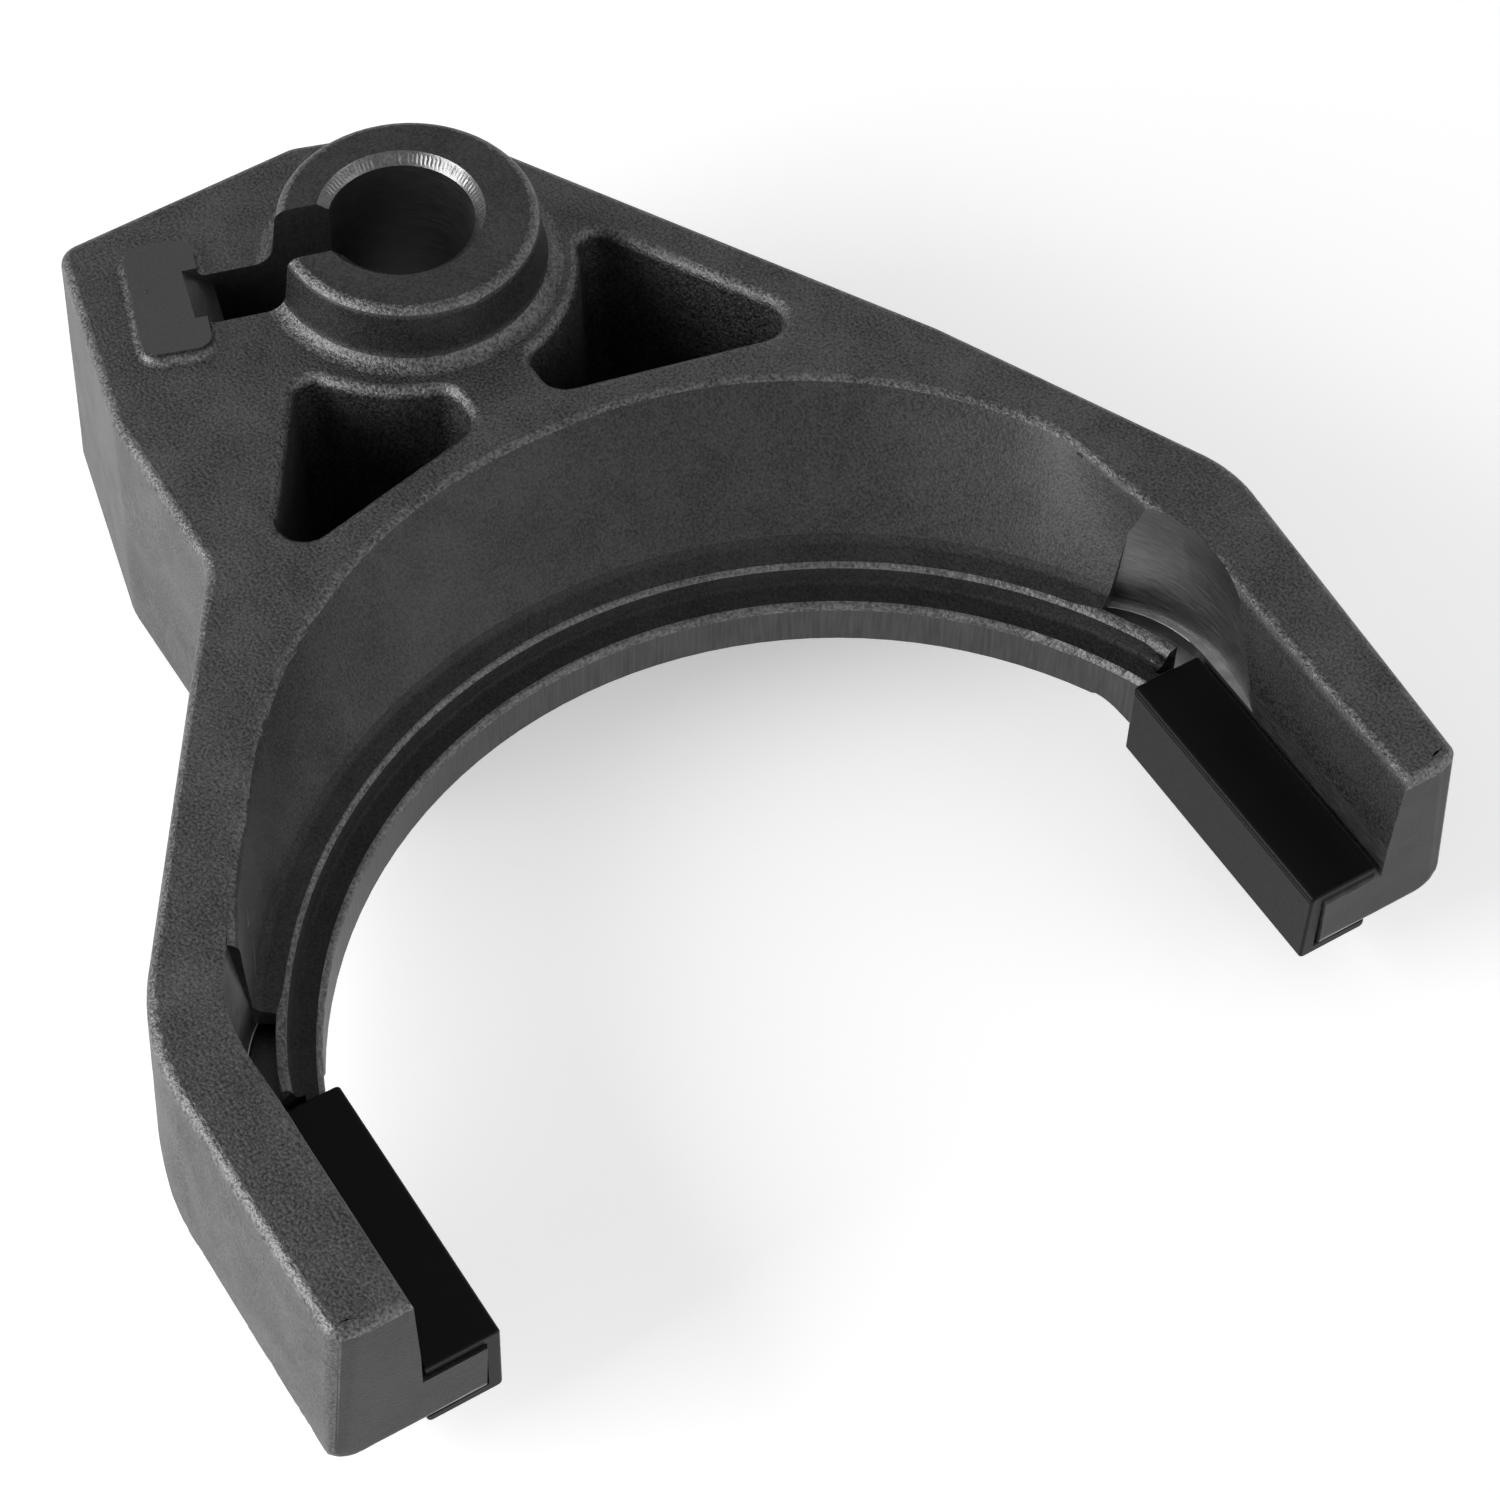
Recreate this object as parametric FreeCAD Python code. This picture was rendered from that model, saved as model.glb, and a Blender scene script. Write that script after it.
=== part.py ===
import FreeCAD, Part
import os
from math import acos, asin, cos, hypot, radians, sin, tan

V = FreeCAD.Vector

# The fork lies on the underside of its hub block. The origin is on the rail bore's axis in that
# underside, +Z runs up the bore and +X points along the arms. Lengths are in millimetres and
# angles in degrees.

# Rail bore and hub
# The bore's wall starts at the underside itself, where the frame's origin lies.
RAIL_BORE = 25.0
BORE_CHAMFER = 1.8
HUB_END_DIAMETER = 44.4
HUB_RISE = 11.7
HUB_DRAFT = 6.0
HUB_EDGE_ROUND = 2.3
HUB_BASE_FILLET = 3.4
HUB_SHIFT = 0.8

# Hub block, seen from above
BLOCK_HEIGHT = 52.0
BACK_EDGE = 32.7
BACK_TURN = 2.0
HEEL_TURN = 18.0
HEEL_ROUND = 6.0
SIDE_EDGE = 57.7
SIDE_KINK = 7.5
SIDE_TURN = 13.2
NECK = 42.5
BLOCK_FRONT = 58.0
HUB_RIM = 29.8
SHOULDER_SLOPE = 29.8
SHOULDER_BEND = 60.0
CAST_DRAFT = 2.5
CORNER_ROUND = 3.0
EDGE_ROUND = 2.0
UNDER_ROUND = 2.4
ARM_ROUND = 5.0

# Key slot from the bore to its raised seat
SLOT_WIDTH = 11.0
SLOT_TURN = 15.2
SLOT_REACH = 31.9
SLOT_DEPTH = 38.0
SLOT_RUNOUT = 5.2
SEAT_DISTANCE = 40.6
SEAT_ASIDE = -0.4
SEAT_TURN = 18.0
SEAT_LENGTH = 11.7
SEAT_WIDTH = 24.8
SEAT_RISE = 2.05
SEAT_CORNER = 2.8
SEAT_FILLET = 1.5

# Lightening pockets
POCKET_RIB = 7.2
POCKET_BRIDGE = 6.6
POCKET_CORNER = 4.6
POCKET_PART = 14.2
POCKET_AIM = 42.0
POCKET_AIM_DEPTH = 17.0
POCKET_CHEEK = 12.6
POCKET_FLOOR = 6.0

# Crescent, measured from its own axis
CRESCENT_X = 157.0
CRESCENT_Y = -8.2
SWEEP_RADIUS = 82.8
SWEEP_HEIGHT = 7.9
ARM_DEPTH = 32.4
OUTER_RIDGE_RADIUS = 88.3
OUTER_RIDGE_DEPTH = 19.6
WALL_FOOT_RADIUS = 93.2
WALL_FOOT_DEPTH = 17.2
RIDGE_ROUND = 1.3
LEDGE_DROP = 1.6
GROOVE_WIDTH = 4.4
GROOVE_DEPTH = 3.2
BACK_WALL_TOP = 45.3
WALL_TOP_ROUND = 82.0
WALL_TOP_CORNER = 46.4
RIB_DRAW = 0.6

# Arms and tips
TIP_RIB = 11.6
ARM_BEND_RADIUS = 38.0
TIP_REACH = 19.3
RIGHT_ARM_SLOPE = 26.3
LEFT_ARM_SLOPE = 34.1
RIGHT_TIP_SLIM = 2.0
RIGHT_TIP_TURN = 3.4
TIP_DRAFT = 7.0
TIP_CORNER = 2.8
TIP_DEPTH = 37.8
TIP_ROOT = 33.0
STEP_ROUND = 8.0

# Milled run-outs beside the pads
MILL_RADIUS = 22.1
MILL_DEPTH = 22.0
MILL_BACK = 29.9
FAN_START = 59.7
FAN_OVERCUT = 1.8
FAN_TOP_RADIUS = 29.4
FAN_FOOT_RADIUS = 29.9
FAN_TOP_BACK = 33.9
FAN_FOOT_BACK = 26.7
RIDGE_CLEAR = 1.4
RIDGE_STOP = 1.3

# Wear pads and the tongues that they clip on
PAD_LENGTH = 49.7
PAD_HEIGHT = 16.8
PAD_WIDTH = 12.95
PAD_WALL = 2.4
PAD_TOP_DEPTH = 22.4
PAD_INNER_GAP = 74.4
PAD_EDGE = 0.5
PAD_ROUND = 0.9
PAD_SPRING = 0.35
PAD_FIT = 0.05
TONGUE_GAP = 0.2
TONGUE_LEAN = 0.5
PAD_SIDE_GAP = 0.65
PAD_END_GAP = 0.6
PIP_DIAMETER = 4.0
PIP_LENGTH = 1.6
PIP_FIT = 0.1

# Worked out from the sizes above
PLATE_TOP = BLOCK_HEIGHT
HUB_TOP = PLATE_TOP + HUB_RISE
TIP_X = CRESCENT_X + TIP_REACH
PAD_START = TIP_X - PAD_END_GAP - PAD_LENGTH
RIB_GAP = PAD_INNER_GAP + PAD_WIDTH + PAD_SIDE_GAP
ARM_HALF_WIDTH = RIB_GAP + TIP_RIB
FAR = 2 * (CRESCENT_X + ARM_HALF_WIDTH)


def unit(a, b):
    """Direction and length from a to b, both (x, y)."""
    length = hypot(b[0] - a[0], b[1] - a[1])
    return (b[0] - a[0]) / length, (b[1] - a[1]) / length, length


def place(x, y, z=0.0):
    """A point of an outline seen from above, at height z."""
    return V(x, y, z)


def section(r, z, y=0.0):
    """A point of an outline drawn in the XZ plane."""
    return V(r, y, z)


def rounded(corners, to_point, closed=True):
    """Edges of an outline whose corners (x, y, radius) are rounded by tangent arcs."""
    count = len(corners)
    stops = []
    for i, (x, y, radius) in enumerate(corners):
        if radius <= 0 or (not closed and i in (0, count - 1)):
            stops.append(((x, y), None, (x, y)))
            continue
        ux, uy, _ = unit((x, y), corners[i - 1])
        wx, wy, _ = unit((x, y), corners[(i + 1) % count])
        half = acos(max(-1.0, min(1.0, ux * wx + uy * wy))) / 2
        reach = radius / tan(half)
        mx, my, _ = unit((0, 0), (ux + wx, uy + wy))
        depth = radius / sin(half) - radius
        stops.append(((x + ux * reach, y + uy * reach), (x + mx * depth, y + my * depth),
                      (x + wx * reach, y + wy * reach)))
    edges = []
    for i, (start, middle, end) in enumerate(stops):
        if middle:
            edges.append(Part.Arc(to_point(*start), to_point(*middle), to_point(*end)).toShape())
        if closed or i < count - 1:
            following = stops[(i + 1) % count][0]
            if hypot(following[0] - end[0], following[1] - end[1]) > 1e-6:
                edges.append(Part.LineSegment(to_point(*end), to_point(*following)).toShape())
    return edges


def between(upper, z_upper, lower, z_lower):
    """A solid between two outlines seen from above that have the same number of corners."""
    wires = []
    for corners, z in ((upper, z_upper), (lower, z_lower)):
        wires.append(Part.Wire(rounded(corners, lambda x, y, z=z: place(x, y, z))))
    return Part.makeLoft(wires, True, True)


def prism(corners, z_bottom, z_top):
    """A straight solid on an outline seen from above."""
    wire = Part.Wire(rounded(corners, lambda x, y: place(x, y, z_bottom)))
    return Part.Face(wire).extrude(V(0, 0, z_top - z_bottom))


def box(x0, x1, y0, y1, z0, z1):
    """A box between two corners."""
    return Part.makeBox(x1 - x0, y1 - y0, z1 - z0, V(x0, y0, z0))


def edges_where(shape, test):
    """The edges of a shape whose every sampled point passes the test."""
    found = []
    for edge in shape.Edges:
        if edge.Length > 1e-4 and all(test(p) for p in edge.discretize(5)):
            found.append(edge)
    return found


def across(side, offset):
    """The Y of a line at a distance from the crescent's axis, on the side +1 or -1."""
    return CRESCENT_Y + side * offset


def meet(first, second):
    """The point where two lines cross, each given by its facing angle and its distance out."""
    a, c = radians(first[0]), radians(second[0])
    turn = sin(c - a)
    return ((first[1] * sin(c) - second[1] * sin(a)) / turn,
            (second[1] * cos(a) - first[1] * cos(c)) / turn)


def outline(sides):
    """Corners (x, y, radius) of sides (facing, distance, radius), radius being that of the side's end."""
    corners = []
    for i, side in enumerate(sides):
        following = sides[(i + 1) % len(sides)]
        x, y = meet(side, following)
        corners.append((x, y, side[2]))
    return corners


def facing(angle, x, y):
    """Distance out from the origin of the line that faces angle and passes through (x, y)."""
    return x * cos(radians(angle)) + y * sin(radians(angle))


def fork_outline(drop):
    """Outer edge of the fork at a depth under the plate's top, walked anticlockwise."""
    cast = drop * tan(radians(CAST_DRAFT))
    flare = drop * tan(radians(TIP_DRAFT))
    left = across(-1, ARM_HALF_WIDTH)
    right = across(1, ARM_HALF_WIDTH)
    side = 270 - SIDE_TURN
    arm = 270 - LEFT_ARM_SLOPE
    shoulder = 90 + SHOULDER_SLOPE
    slim = 90 + RIGHT_ARM_SLOPE
    tip = 90 - RIGHT_TIP_TURN
    bend = HUB_RIM / cos(radians(SHOULDER_SLOPE)) + SHOULDER_BEND * tan(radians(SHOULDER_SLOPE))
    return outline([
        (180 + BACK_TURN, BACK_EDGE + cast, CORNER_ROUND + cast),
        (side, facing(side, SIDE_KINK, -SIDE_EDGE) + cast, 4 * CORNER_ROUND + cast),
        (270, SIDE_EDGE + cast, 3 * CORNER_ROUND - cast),
        (arm, facing(arm, NECK, -SIDE_EDGE) + cast, ARM_BEND_RADIUS + cast),
        (270, flare - left, 0),
        (0, TIP_X, 0),
        (tip, facing(tip, TIP_X, right - RIGHT_TIP_SLIM) + flare, 0.55 * ARM_BEND_RADIUS + cast),
        (slim, facing(slim, SHOULDER_BEND, bend) + cast, ARM_BEND_RADIUS + cast),
        (shoulder, HUB_RIM + cast, HUB_RIM + cast),
        (180 - HEEL_TURN, HUB_RIM + cast, HEEL_ROUND + cast),
    ])


def underside():
    """What lies under the arms and is cut away: the block, the arms and the tips differ in depth."""
    arm_floor = PLATE_TOP - ARM_DEPTH
    tip_floor = PLATE_TOP - TIP_DEPTH
    root = CRESCENT_X - TIP_ROOT
    corners = [
        (BLOCK_FRONT - 2.0, -10.0, 0),
        (FAR, -10.0, 0),
        (FAR, tip_floor, 0),
        (root + 4.0, tip_floor, STEP_ROUND),
        (root - 4.0, arm_floor, STEP_ROUND),
        (BLOCK_FRONT, arm_floor, STEP_ROUND),
    ]
    wire = Part.Wire(rounded(corners, lambda x, z: section(x, z, -FAR)))
    return Part.Face(wire).extrude(V(0, 2 * FAR, 0))


def cast_top_edge():
    """The line on the plate's top where the crescent's sloping wall begins."""
    left_slope, right_slope = tan(radians(35.0)), tan(radians(33.5))
    reach = CRESCENT_X + 40.0
    root = CRESCENT_X - 45.0
    left_bend = CRESCENT_X - 58.0
    right_bend = CRESCENT_X - 69.0
    corners = [
        (reach, across(-1, RIB_GAP + RIB_DRAW), 0),
        (root + 12.0, across(-1, RIB_GAP + RIB_DRAW), 12.0),
        (left_bend, -WALL_TOP_CORNER - left_slope * (left_bend - BACK_WALL_TOP), 20.0),
        (BACK_WALL_TOP, -WALL_TOP_CORNER, WALL_TOP_ROUND),
        (BACK_WALL_TOP, WALL_TOP_CORNER, WALL_TOP_ROUND),
        (right_bend, WALL_TOP_CORNER + right_slope * (right_bend - BACK_WALL_TOP), 25.0),
        (root + 12.0, across(1, RIB_GAP + RIB_DRAW), 12.0),
        (reach, across(1, RIB_GAP + RIB_DRAW), 0),
    ]
    return corners


def smooth_line(edges, z, points=46):
    """One smooth edge along a run of edges, at height z."""
    wire = Part.Wire(edges)
    curve = Part.BSplineCurve()
    curve.interpolate([V(p.x, p.y, z) for p in wire.discretize(points)])
    return curve.toShape()


def sloping_wall():
    """The cutter of the crescent's tall cast wall, from its top edge down to its round foot."""
    top = rounded(cast_top_edge(), lambda x, y: place(x, y, 0), closed=False)
    reach = CRESCENT_X + 40.0
    half = RIB_GAP
    turn = asin(half / WALL_FOOT_RADIUS)
    join = CRESCENT_X - WALL_FOOT_RADIUS * cos(turn)
    low, high = across(-1, half), across(1, half)
    back = CRESCENT_X - WALL_FOOT_RADIUS
    foot = [Part.LineSegment(place(reach, low), place(join, low)).toShape(),
            Part.Arc(place(join, low), place(back, CRESCENT_Y), place(join, high)).toShape(),
            Part.LineSegment(place(join, high), place(reach, high)).toShape()]
    wires = []
    for edges, z in ((top, PLATE_TOP), (foot, PLATE_TOP - WALL_FOOT_DEPTH)):
        line = smooth_line(edges, z)
        a, b = line.Vertexes[0].Point, line.Vertexes[-1].Point
        wires.append(Part.Wire([line, Part.LineSegment(b, a).toShape()]))
    return Part.makeLoft(wires, True, True)


def stepped_sweep():
    """The cutter turned about the crescent's axis: the ledge, its two ridges and the bored sweep."""
    crest = PLATE_TOP - ARM_DEPTH + SWEEP_HEIGHT
    ridge = PLATE_TOP - OUTER_RIDGE_DEPTH
    foot = PLATE_TOP - WALL_FOOT_DEPTH
    corners = [
        (1.0, -10.0, 0),
        (SWEEP_RADIUS, -10.0, 0),
        (SWEEP_RADIUS, crest + 0.5 * RIDGE_ROUND, RIDGE_ROUND),
        (SWEEP_RADIUS + GROOVE_WIDTH, ridge - GROOVE_DEPTH, RIDGE_ROUND),
        (OUTER_RIDGE_RADIUS, ridge, RIDGE_ROUND),
        (WALL_FOOT_RADIUS - 0.6 * LEDGE_DROP, foot - 0.7 * LEDGE_DROP, 1.5 * RIDGE_ROUND),
        (WALL_FOOT_RADIUS, foot + 0.02, 0),
        (1.0, foot + 0.02, 0),
    ]
    wire = Part.Wire(rounded(corners, section))
    tool = Part.Face(wire).revolve(V(0, 0, 0), V(0, 0, 1), 360)
    tool.translate(V(CRESCENT_X, CRESCENT_Y, 0))
    return tool.common(box(0, PAD_START - PAD_FIT, -FAR, FAR, -10, PLATE_TOP + 1))


def open_mouth():
    """The gap between the pads and below them, out past the tips."""
    start = PAD_START - PAD_FIT - 0.01
    top = PLATE_TOP - WALL_FOOT_DEPTH + 0.01
    return box(start, FAR, across(-1, PAD_INNER_GAP), across(1, PAD_INNER_GAP), -10, top)


def mill_cut(side):
    """The milled fan, the lane beside the pad and the lower floor, all outside the outer ridge."""
    ledge = PLATE_TOP - MILL_DEPTH
    shelf = PLATE_TOP - PAD_TOP_DEPTH - PAD_WALL
    fan = []
    for back, radius, z in ((FAN_TOP_BACK, FAN_TOP_RADIUS, PLATE_TOP), (FAN_FOOT_BACK, FAN_FOOT_RADIUS, ledge)):
        centre = V(CRESCENT_X - back, across(side, RIB_GAP + FAN_OVERCUT - radius), z)
        fan.append(Part.Wire(Part.makeCircle(radius, centre)))
    axis = across(side, RIB_GAP - MILL_RADIUS)
    floor = Part.makeCylinder(MILL_RADIUS, ledge - shelf + 0.01, V(CRESCENT_X - MILL_BACK, axis, shelf))
    kept = past_ridge(OUTER_RIDGE_RADIUS + RIDGE_CLEAR, PAD_START - RIDGE_STOP)
    kept = kept.fuse(past_ridge(SWEEP_RADIUS + 0.7 * GROOVE_WIDTH, PAD_START - PAD_FIT))
    low, high = sorted((across(side, RIB_GAP), across(side, PAD_INNER_GAP - 5)))
    lane = box(PAD_START - PAD_FIT, FAR, low, high, ledge, PLATE_TOP - WALL_FOOT_DEPTH + 0.01)
    swept = Part.makeLoft(fan, True, True).common(past_start(side))
    return [swept.cut(kept), floor.cut(kept), lane]


def past_ridge(radius, end):
    """The space about the crescent's axis, out to a radius and as far as end, that no mill enters."""
    round_space = Part.makeCylinder(radius, FAR, V(CRESCENT_X, CRESCENT_Y, 0))
    return round_space.common(box(0, end, -FAR, FAR, 0, PLATE_TOP))


def past_start(side):
    """The space beyond the upright plane through the crescent's axis where a milled fan begins."""
    turn = radians(FAN_START)
    along = (-FAR * cos(turn), FAR * sin(turn))
    aside = (FAR * sin(turn), FAR * cos(turn))
    corners = []
    for a, b in ((0, 0), (1, 0), (1, 1), (0, 1)):
        x = CRESCENT_X + a * along[0] + b * aside[0]
        corners.append((x, across(side, a * along[1] + b * aside[1]), 0))
    return prism(corners[::-side], 0, PLATE_TOP + 1)


def pad_seat(side):
    """The stepped recess that leaves the tongue a pad clips on, with the hole for its pip."""
    top = PLATE_TOP - PAD_TOP_DEPTH
    shelf, under = top - PAD_WALL, top - PAD_HEIGHT + PAD_WALL
    face = PAD_INNER_GAP + PAD_WALL + TONGUE_GAP
    outer = PAD_INNER_GAP + PAD_WIDTH
    start = PAD_START - PAD_FIT
    cuts = []
    for width, z0, z1 in ((RIB_GAP, shelf, PLATE_TOP - MILL_DEPTH + 0.01), (outer + PAD_FIT, -10, under)):
        low, high = sorted((across(side, PAD_INNER_GAP - 5), across(side, width)))
        cuts.append(box(start, FAR, low, high, z0, z1))
    leaning = [(PAD_INNER_GAP - 5, -10), (face + TONGUE_LEAN, -10), (face + TONGUE_LEAN, under),
               (face, shelf + 0.01), (PAD_INNER_GAP - 5, shelf + 0.01)]
    points = [V(start, across(side, w), z) for w, z in leaning]
    cuts.append(Part.Face(Part.makePolygon(points + points[:1])).extrude(V(FAR, 0, 0)))
    hole = Part.makeCylinder(PIP_DIAMETER / 2 + PIP_FIT, PIP_LENGTH + PIP_FIT,
                             V(*pip_place(side), shelf - PIP_LENGTH - PIP_FIT))
    return cuts + [hole]


def pip_place(side):
    """Where the pip stands in its pad, seen from above."""
    return PAD_START + PAD_LENGTH / 2, across(side, PAD_INNER_GAP + (PAD_WIDTH + PAD_WALL) / 2)


def hub():
    """The hub turned about the bore, flared into the plate, with its end edge rounded."""
    end = HUB_END_DIAMETER / 2
    waist = end + HUB_RISE * tan(radians(HUB_DRAFT))
    sunk = 0.3
    corners = [
        (0.0, PLATE_TOP - 6.0, 0),
        (waist + HUB_BASE_FILLET + 0.6, PLATE_TOP - 6.0, 0),
        (waist + HUB_BASE_FILLET + 0.6, PLATE_TOP - sunk, 0),
        (waist + HUB_BASE_FILLET + 0.5, PLATE_TOP - 0.02, 0),
        (waist, PLATE_TOP - 0.02, HUB_BASE_FILLET),
        (end, HUB_TOP, HUB_EDGE_ROUND),
        (0.0, HUB_TOP, 0),
    ]
    wire = Part.Wire(rounded(corners, section))
    return Part.Face(wire).revolve(V(0, 0, 0), V(0, 0, 1), 360)


def along_slot(distance, offset=0.0):
    """A point at a distance from the bore along the key slot, and an offset square to it."""
    turn = radians(SLOT_TURN)
    return (-sin(turn) * distance + cos(turn) * offset, -cos(turn) * distance - sin(turn) * offset)


def slot_rectangle(near, far, width):
    """The corners of a rectangle that lies along the key slot, walked anticlockwise."""
    half = width / 2
    return [along_slot(d, o) + (0,) for d, o in ((near, -half), (far, -half), (far, half), (near, half))]


def seat_place(length, width):
    """A point of the raised seat, from its middle, along and across it."""
    x, y = along_slot(SEAT_DISTANCE, SEAT_ASIDE)
    turn = radians(SEAT_TURN)
    return (x - sin(turn) * length + cos(turn) * width, y - cos(turn) * length - sin(turn) * width)


def key_seat():
    """The raised pad round the slot's end."""
    a, b = SEAT_LENGTH / 2, SEAT_WIDTH / 2
    corners = [seat_place(*at) + (SEAT_CORNER,) for at in ((-a, -b), (a, -b), (a, b), (-a, b))]
    return prism(corners, PLATE_TOP - 4.0, PLATE_TOP + SEAT_RISE)


def key_slot():
    """The slot's deep part and the ramp where its cutter ran out."""
    deep = prism(slot_rectangle(0.0, SLOT_REACH, SLOT_WIDTH), PLATE_TOP - SLOT_DEPTH, HUB_TOP + 1)
    top = PLATE_TOP + SEAT_RISE
    half = SLOT_WIDTH / 2
    profile = [(SLOT_REACH - 1.0, top + 1.0), (SLOT_REACH + SLOT_RUNOUT + 1.0, top + 1.0),
               (SLOT_REACH, top - SLOT_RUNOUT), (SLOT_REACH - 1.0, top - SLOT_RUNOUT)]
    points = [V(*along_slot(d, -half), z) for d, z in profile]
    ramp = Part.Face(Part.makePolygon(points + points[:1]))
    return deep.fuse(ramp.extrude(V(*along_slot(0.0, SLOT_WIDTH), 0)))


def bore_cut():
    """The rail bore with the chamfer at its hub end."""
    radius = RAIL_BORE / 2
    profile = [(0, -1), (radius, -1), (radius, HUB_TOP - BORE_CHAMFER),
               (radius + BORE_CHAMFER + 1, HUB_TOP + 1), (0, HUB_TOP + 1)]
    points = [section(r, z) for r, z in profile]
    return Part.Face(Part.makePolygon(points + points[:1])).revolve(V(0, 0, 0), V(0, 0, 1), 360)


def pocket_outline(side, drop):
    """A pocket's sides at a depth, before the hub's round wall closes it, walked anticlockwise."""
    draw = drop * tan(radians(CAST_DRAFT))
    cheek = side * -POCKET_CHEEK
    front = facing(cheek, BACK_WALL_TOP - POCKET_BRIDGE, side * 10.0)
    if side > 0:
        rib = 90 + SHOULDER_SLOPE
        edge = HUB_RIM - POCKET_RIB
    else:
        rib = 270 - LEFT_ARM_SLOPE
        edge = facing(rib, NECK, -SIDE_EDGE) - POCKET_RIB - 1.0
    inner = (180 + side * POCKET_AIM, -POCKET_AIM_DEPTH, 0)
    part = (-90 * side, -POCKET_PART / 2 - draw, POCKET_CORNER - draw / 2)
    corner = POCKET_CORNER - draw / 2
    if side > 0:
        sides = [(cheek, front - draw, corner), (rib, edge - draw, 0), inner, (part[0], part[1], corner)]
    else:
        sides = [(cheek, front - draw, corner), (part[0], part[1], 0), inner, (rib, edge - draw, corner)]
    return outline(sides)


def pocket(side):
    """The cutter of a blind lightening pocket beside the hub."""
    depth = BLOCK_HEIGHT - POCKET_FLOOR
    tool = between(pocket_outline(side, 0.0), PLATE_TOP, pocket_outline(side, depth), POCKET_FLOOR)
    grow = depth * tan(radians(CAST_DRAFT))
    tool = tool.cut(Part.makeCone(HUB_RIM + grow, HUB_RIM, depth, V(0, 0, POCKET_FLOOR)))
    upright = []
    for edge in tool.Edges:
        ends = [v.Point for v in edge.Vertexes]
        tall = len(ends) == 2 and abs(ends[0].z - ends[1].z) > 0.9 * depth
        if tall and all(hypot(p.x, p.y) < HUB_RIM + grow + 0.1 for p in ends):
            upright.append(edge)
    return tool.makeFillet(0.7 * POCKET_CORNER, upright)


def cast_body():
    """The fork as it leaves the mould, with its edges rounded."""
    body = between(fork_outline(0.0), PLATE_TOP, fork_outline(PLATE_TOP), 0.0)
    body = body.cut(underside())
    body = body.makeFillet(ARM_ROUND, edges_where(body, on_arm_foot))
    body = body.makeFillet(TIP_CORNER, edges_where(body, on_tip_corner))
    body = body.makeFillet(UNDER_ROUND, edges_where(body, lambda p: p.z < 0.01))
    body = body.cut(sloping_wall())
    for side in (-1, 1):
        body = body.cut(pocket(side))
    rims = edges_where(body, lambda p: abs(p.z - PLATE_TOP) < 1e-3)
    return body.makeFillet(EDGE_ROUND, rims)


def on_arm_foot(p):
    """Whether a point lies on an arm's lower outer edge."""
    outside = abs(p.y - CRESCENT_Y) > 0.5 * ARM_HALF_WIDTH
    return outside and p.z < PLATE_TOP - ARM_DEPTH + 0.01 and BLOCK_FRONT + STEP_ROUND < p.x < TIP_X - 0.01


def on_tip_corner(p):
    """Whether a point lies on an upright outer corner of a tip."""
    above = PLATE_TOP - TIP_DEPTH + ARM_ROUND - 0.5
    return p.x > TIP_X - 0.01 and abs(p.y - CRESCENT_Y) > 0.9 * ARM_HALF_WIDTH and p.z > above


def machined_features(body):
    """Everything that is cut into the casting after it leaves the mould."""
    cuts = mill_cut(-1) + mill_cut(1) + [stepped_sweep(), open_mouth(), key_slot(), bore_cut()]
    for side in (-1, 1):
        cuts += pad_seat(side)
    for cut in cuts:
        body = body.cut(cut)
    return body


def fork_body():
    """The whole casting after machining."""
    body = cast_body()
    tower = hub()
    tower.translate(V(HUB_SHIFT, HUB_SHIFT, 0))
    body = body.fuse(tower).fuse(key_seat())
    foot = edges_where(body, lambda p: abs(p.z - PLATE_TOP) < 1e-3 and near_seat(p))
    body = body.makeFillet(SEAT_FILLET, foot)
    return machined_features(body)


def near_seat(p):
    """Whether a point lies on the outline of the raised seat."""
    x, y = seat_place(0.0, 0.0)
    turn = radians(SEAT_TURN)
    along = -sin(turn) * (p.x - x) - cos(turn) * (p.y - y)
    aside = cos(turn) * (p.x - x) - sin(turn) * (p.y - y)
    return abs(along) < SEAT_LENGTH / 2 + 0.1 and abs(aside) < SEAT_WIDTH / 2 + 0.1


def wear_pad(side):
    """A moulded U-shaped pad that clips over a tongue, with the pip that locates it."""
    top = PLATE_TOP - PAD_TOP_DEPTH
    bottom = top - PAD_HEIGHT
    corners = [
        (0.0, bottom, PAD_ROUND),
        (PAD_WIDTH, bottom, PAD_ROUND),
        (PAD_WIDTH, bottom + PAD_WALL - PAD_SPRING, PAD_EDGE),
        (PAD_WALL, bottom + PAD_WALL, 0),
        (PAD_WALL, top - PAD_WALL, 0),
        (PAD_WIDTH, top - PAD_WALL, PAD_EDGE),
        (PAD_WIDTH, top, PAD_EDGE),
        (0.0, top, PAD_ROUND),
    ]
    def point(w, z):
        return V(PAD_START, across(side, PAD_INNER_GAP + w), z)
    wire = Part.Wire(rounded(corners, point))
    pad = Part.Face(wire).extrude(V(PAD_LENGTH, 0, 0))
    ends = (PAD_START, PAD_START + PAD_LENGTH)
    rims = edges_where(pad, lambda p: p.z > top - 0.01 and min(abs(p.x - x) for x in ends) < 0.01)
    pad = pad.makeFillet(PAD_EDGE, rims)
    x, y = pip_place(side)
    pip = Part.makeCylinder(PIP_DIAMETER / 2, PIP_LENGTH + 0.5, V(x, y, top - PAD_WALL - PIP_LENGTH))
    return pad.fuse(pip)


os.makedirs("parts", exist_ok=True)
fork_body().exportStep("parts/fork_body.step")
wear_pad(-1).exportStep("parts/wear_pad_left.step")
wear_pad(1).exportStep("parts/wear_pad_right.step")
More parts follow.
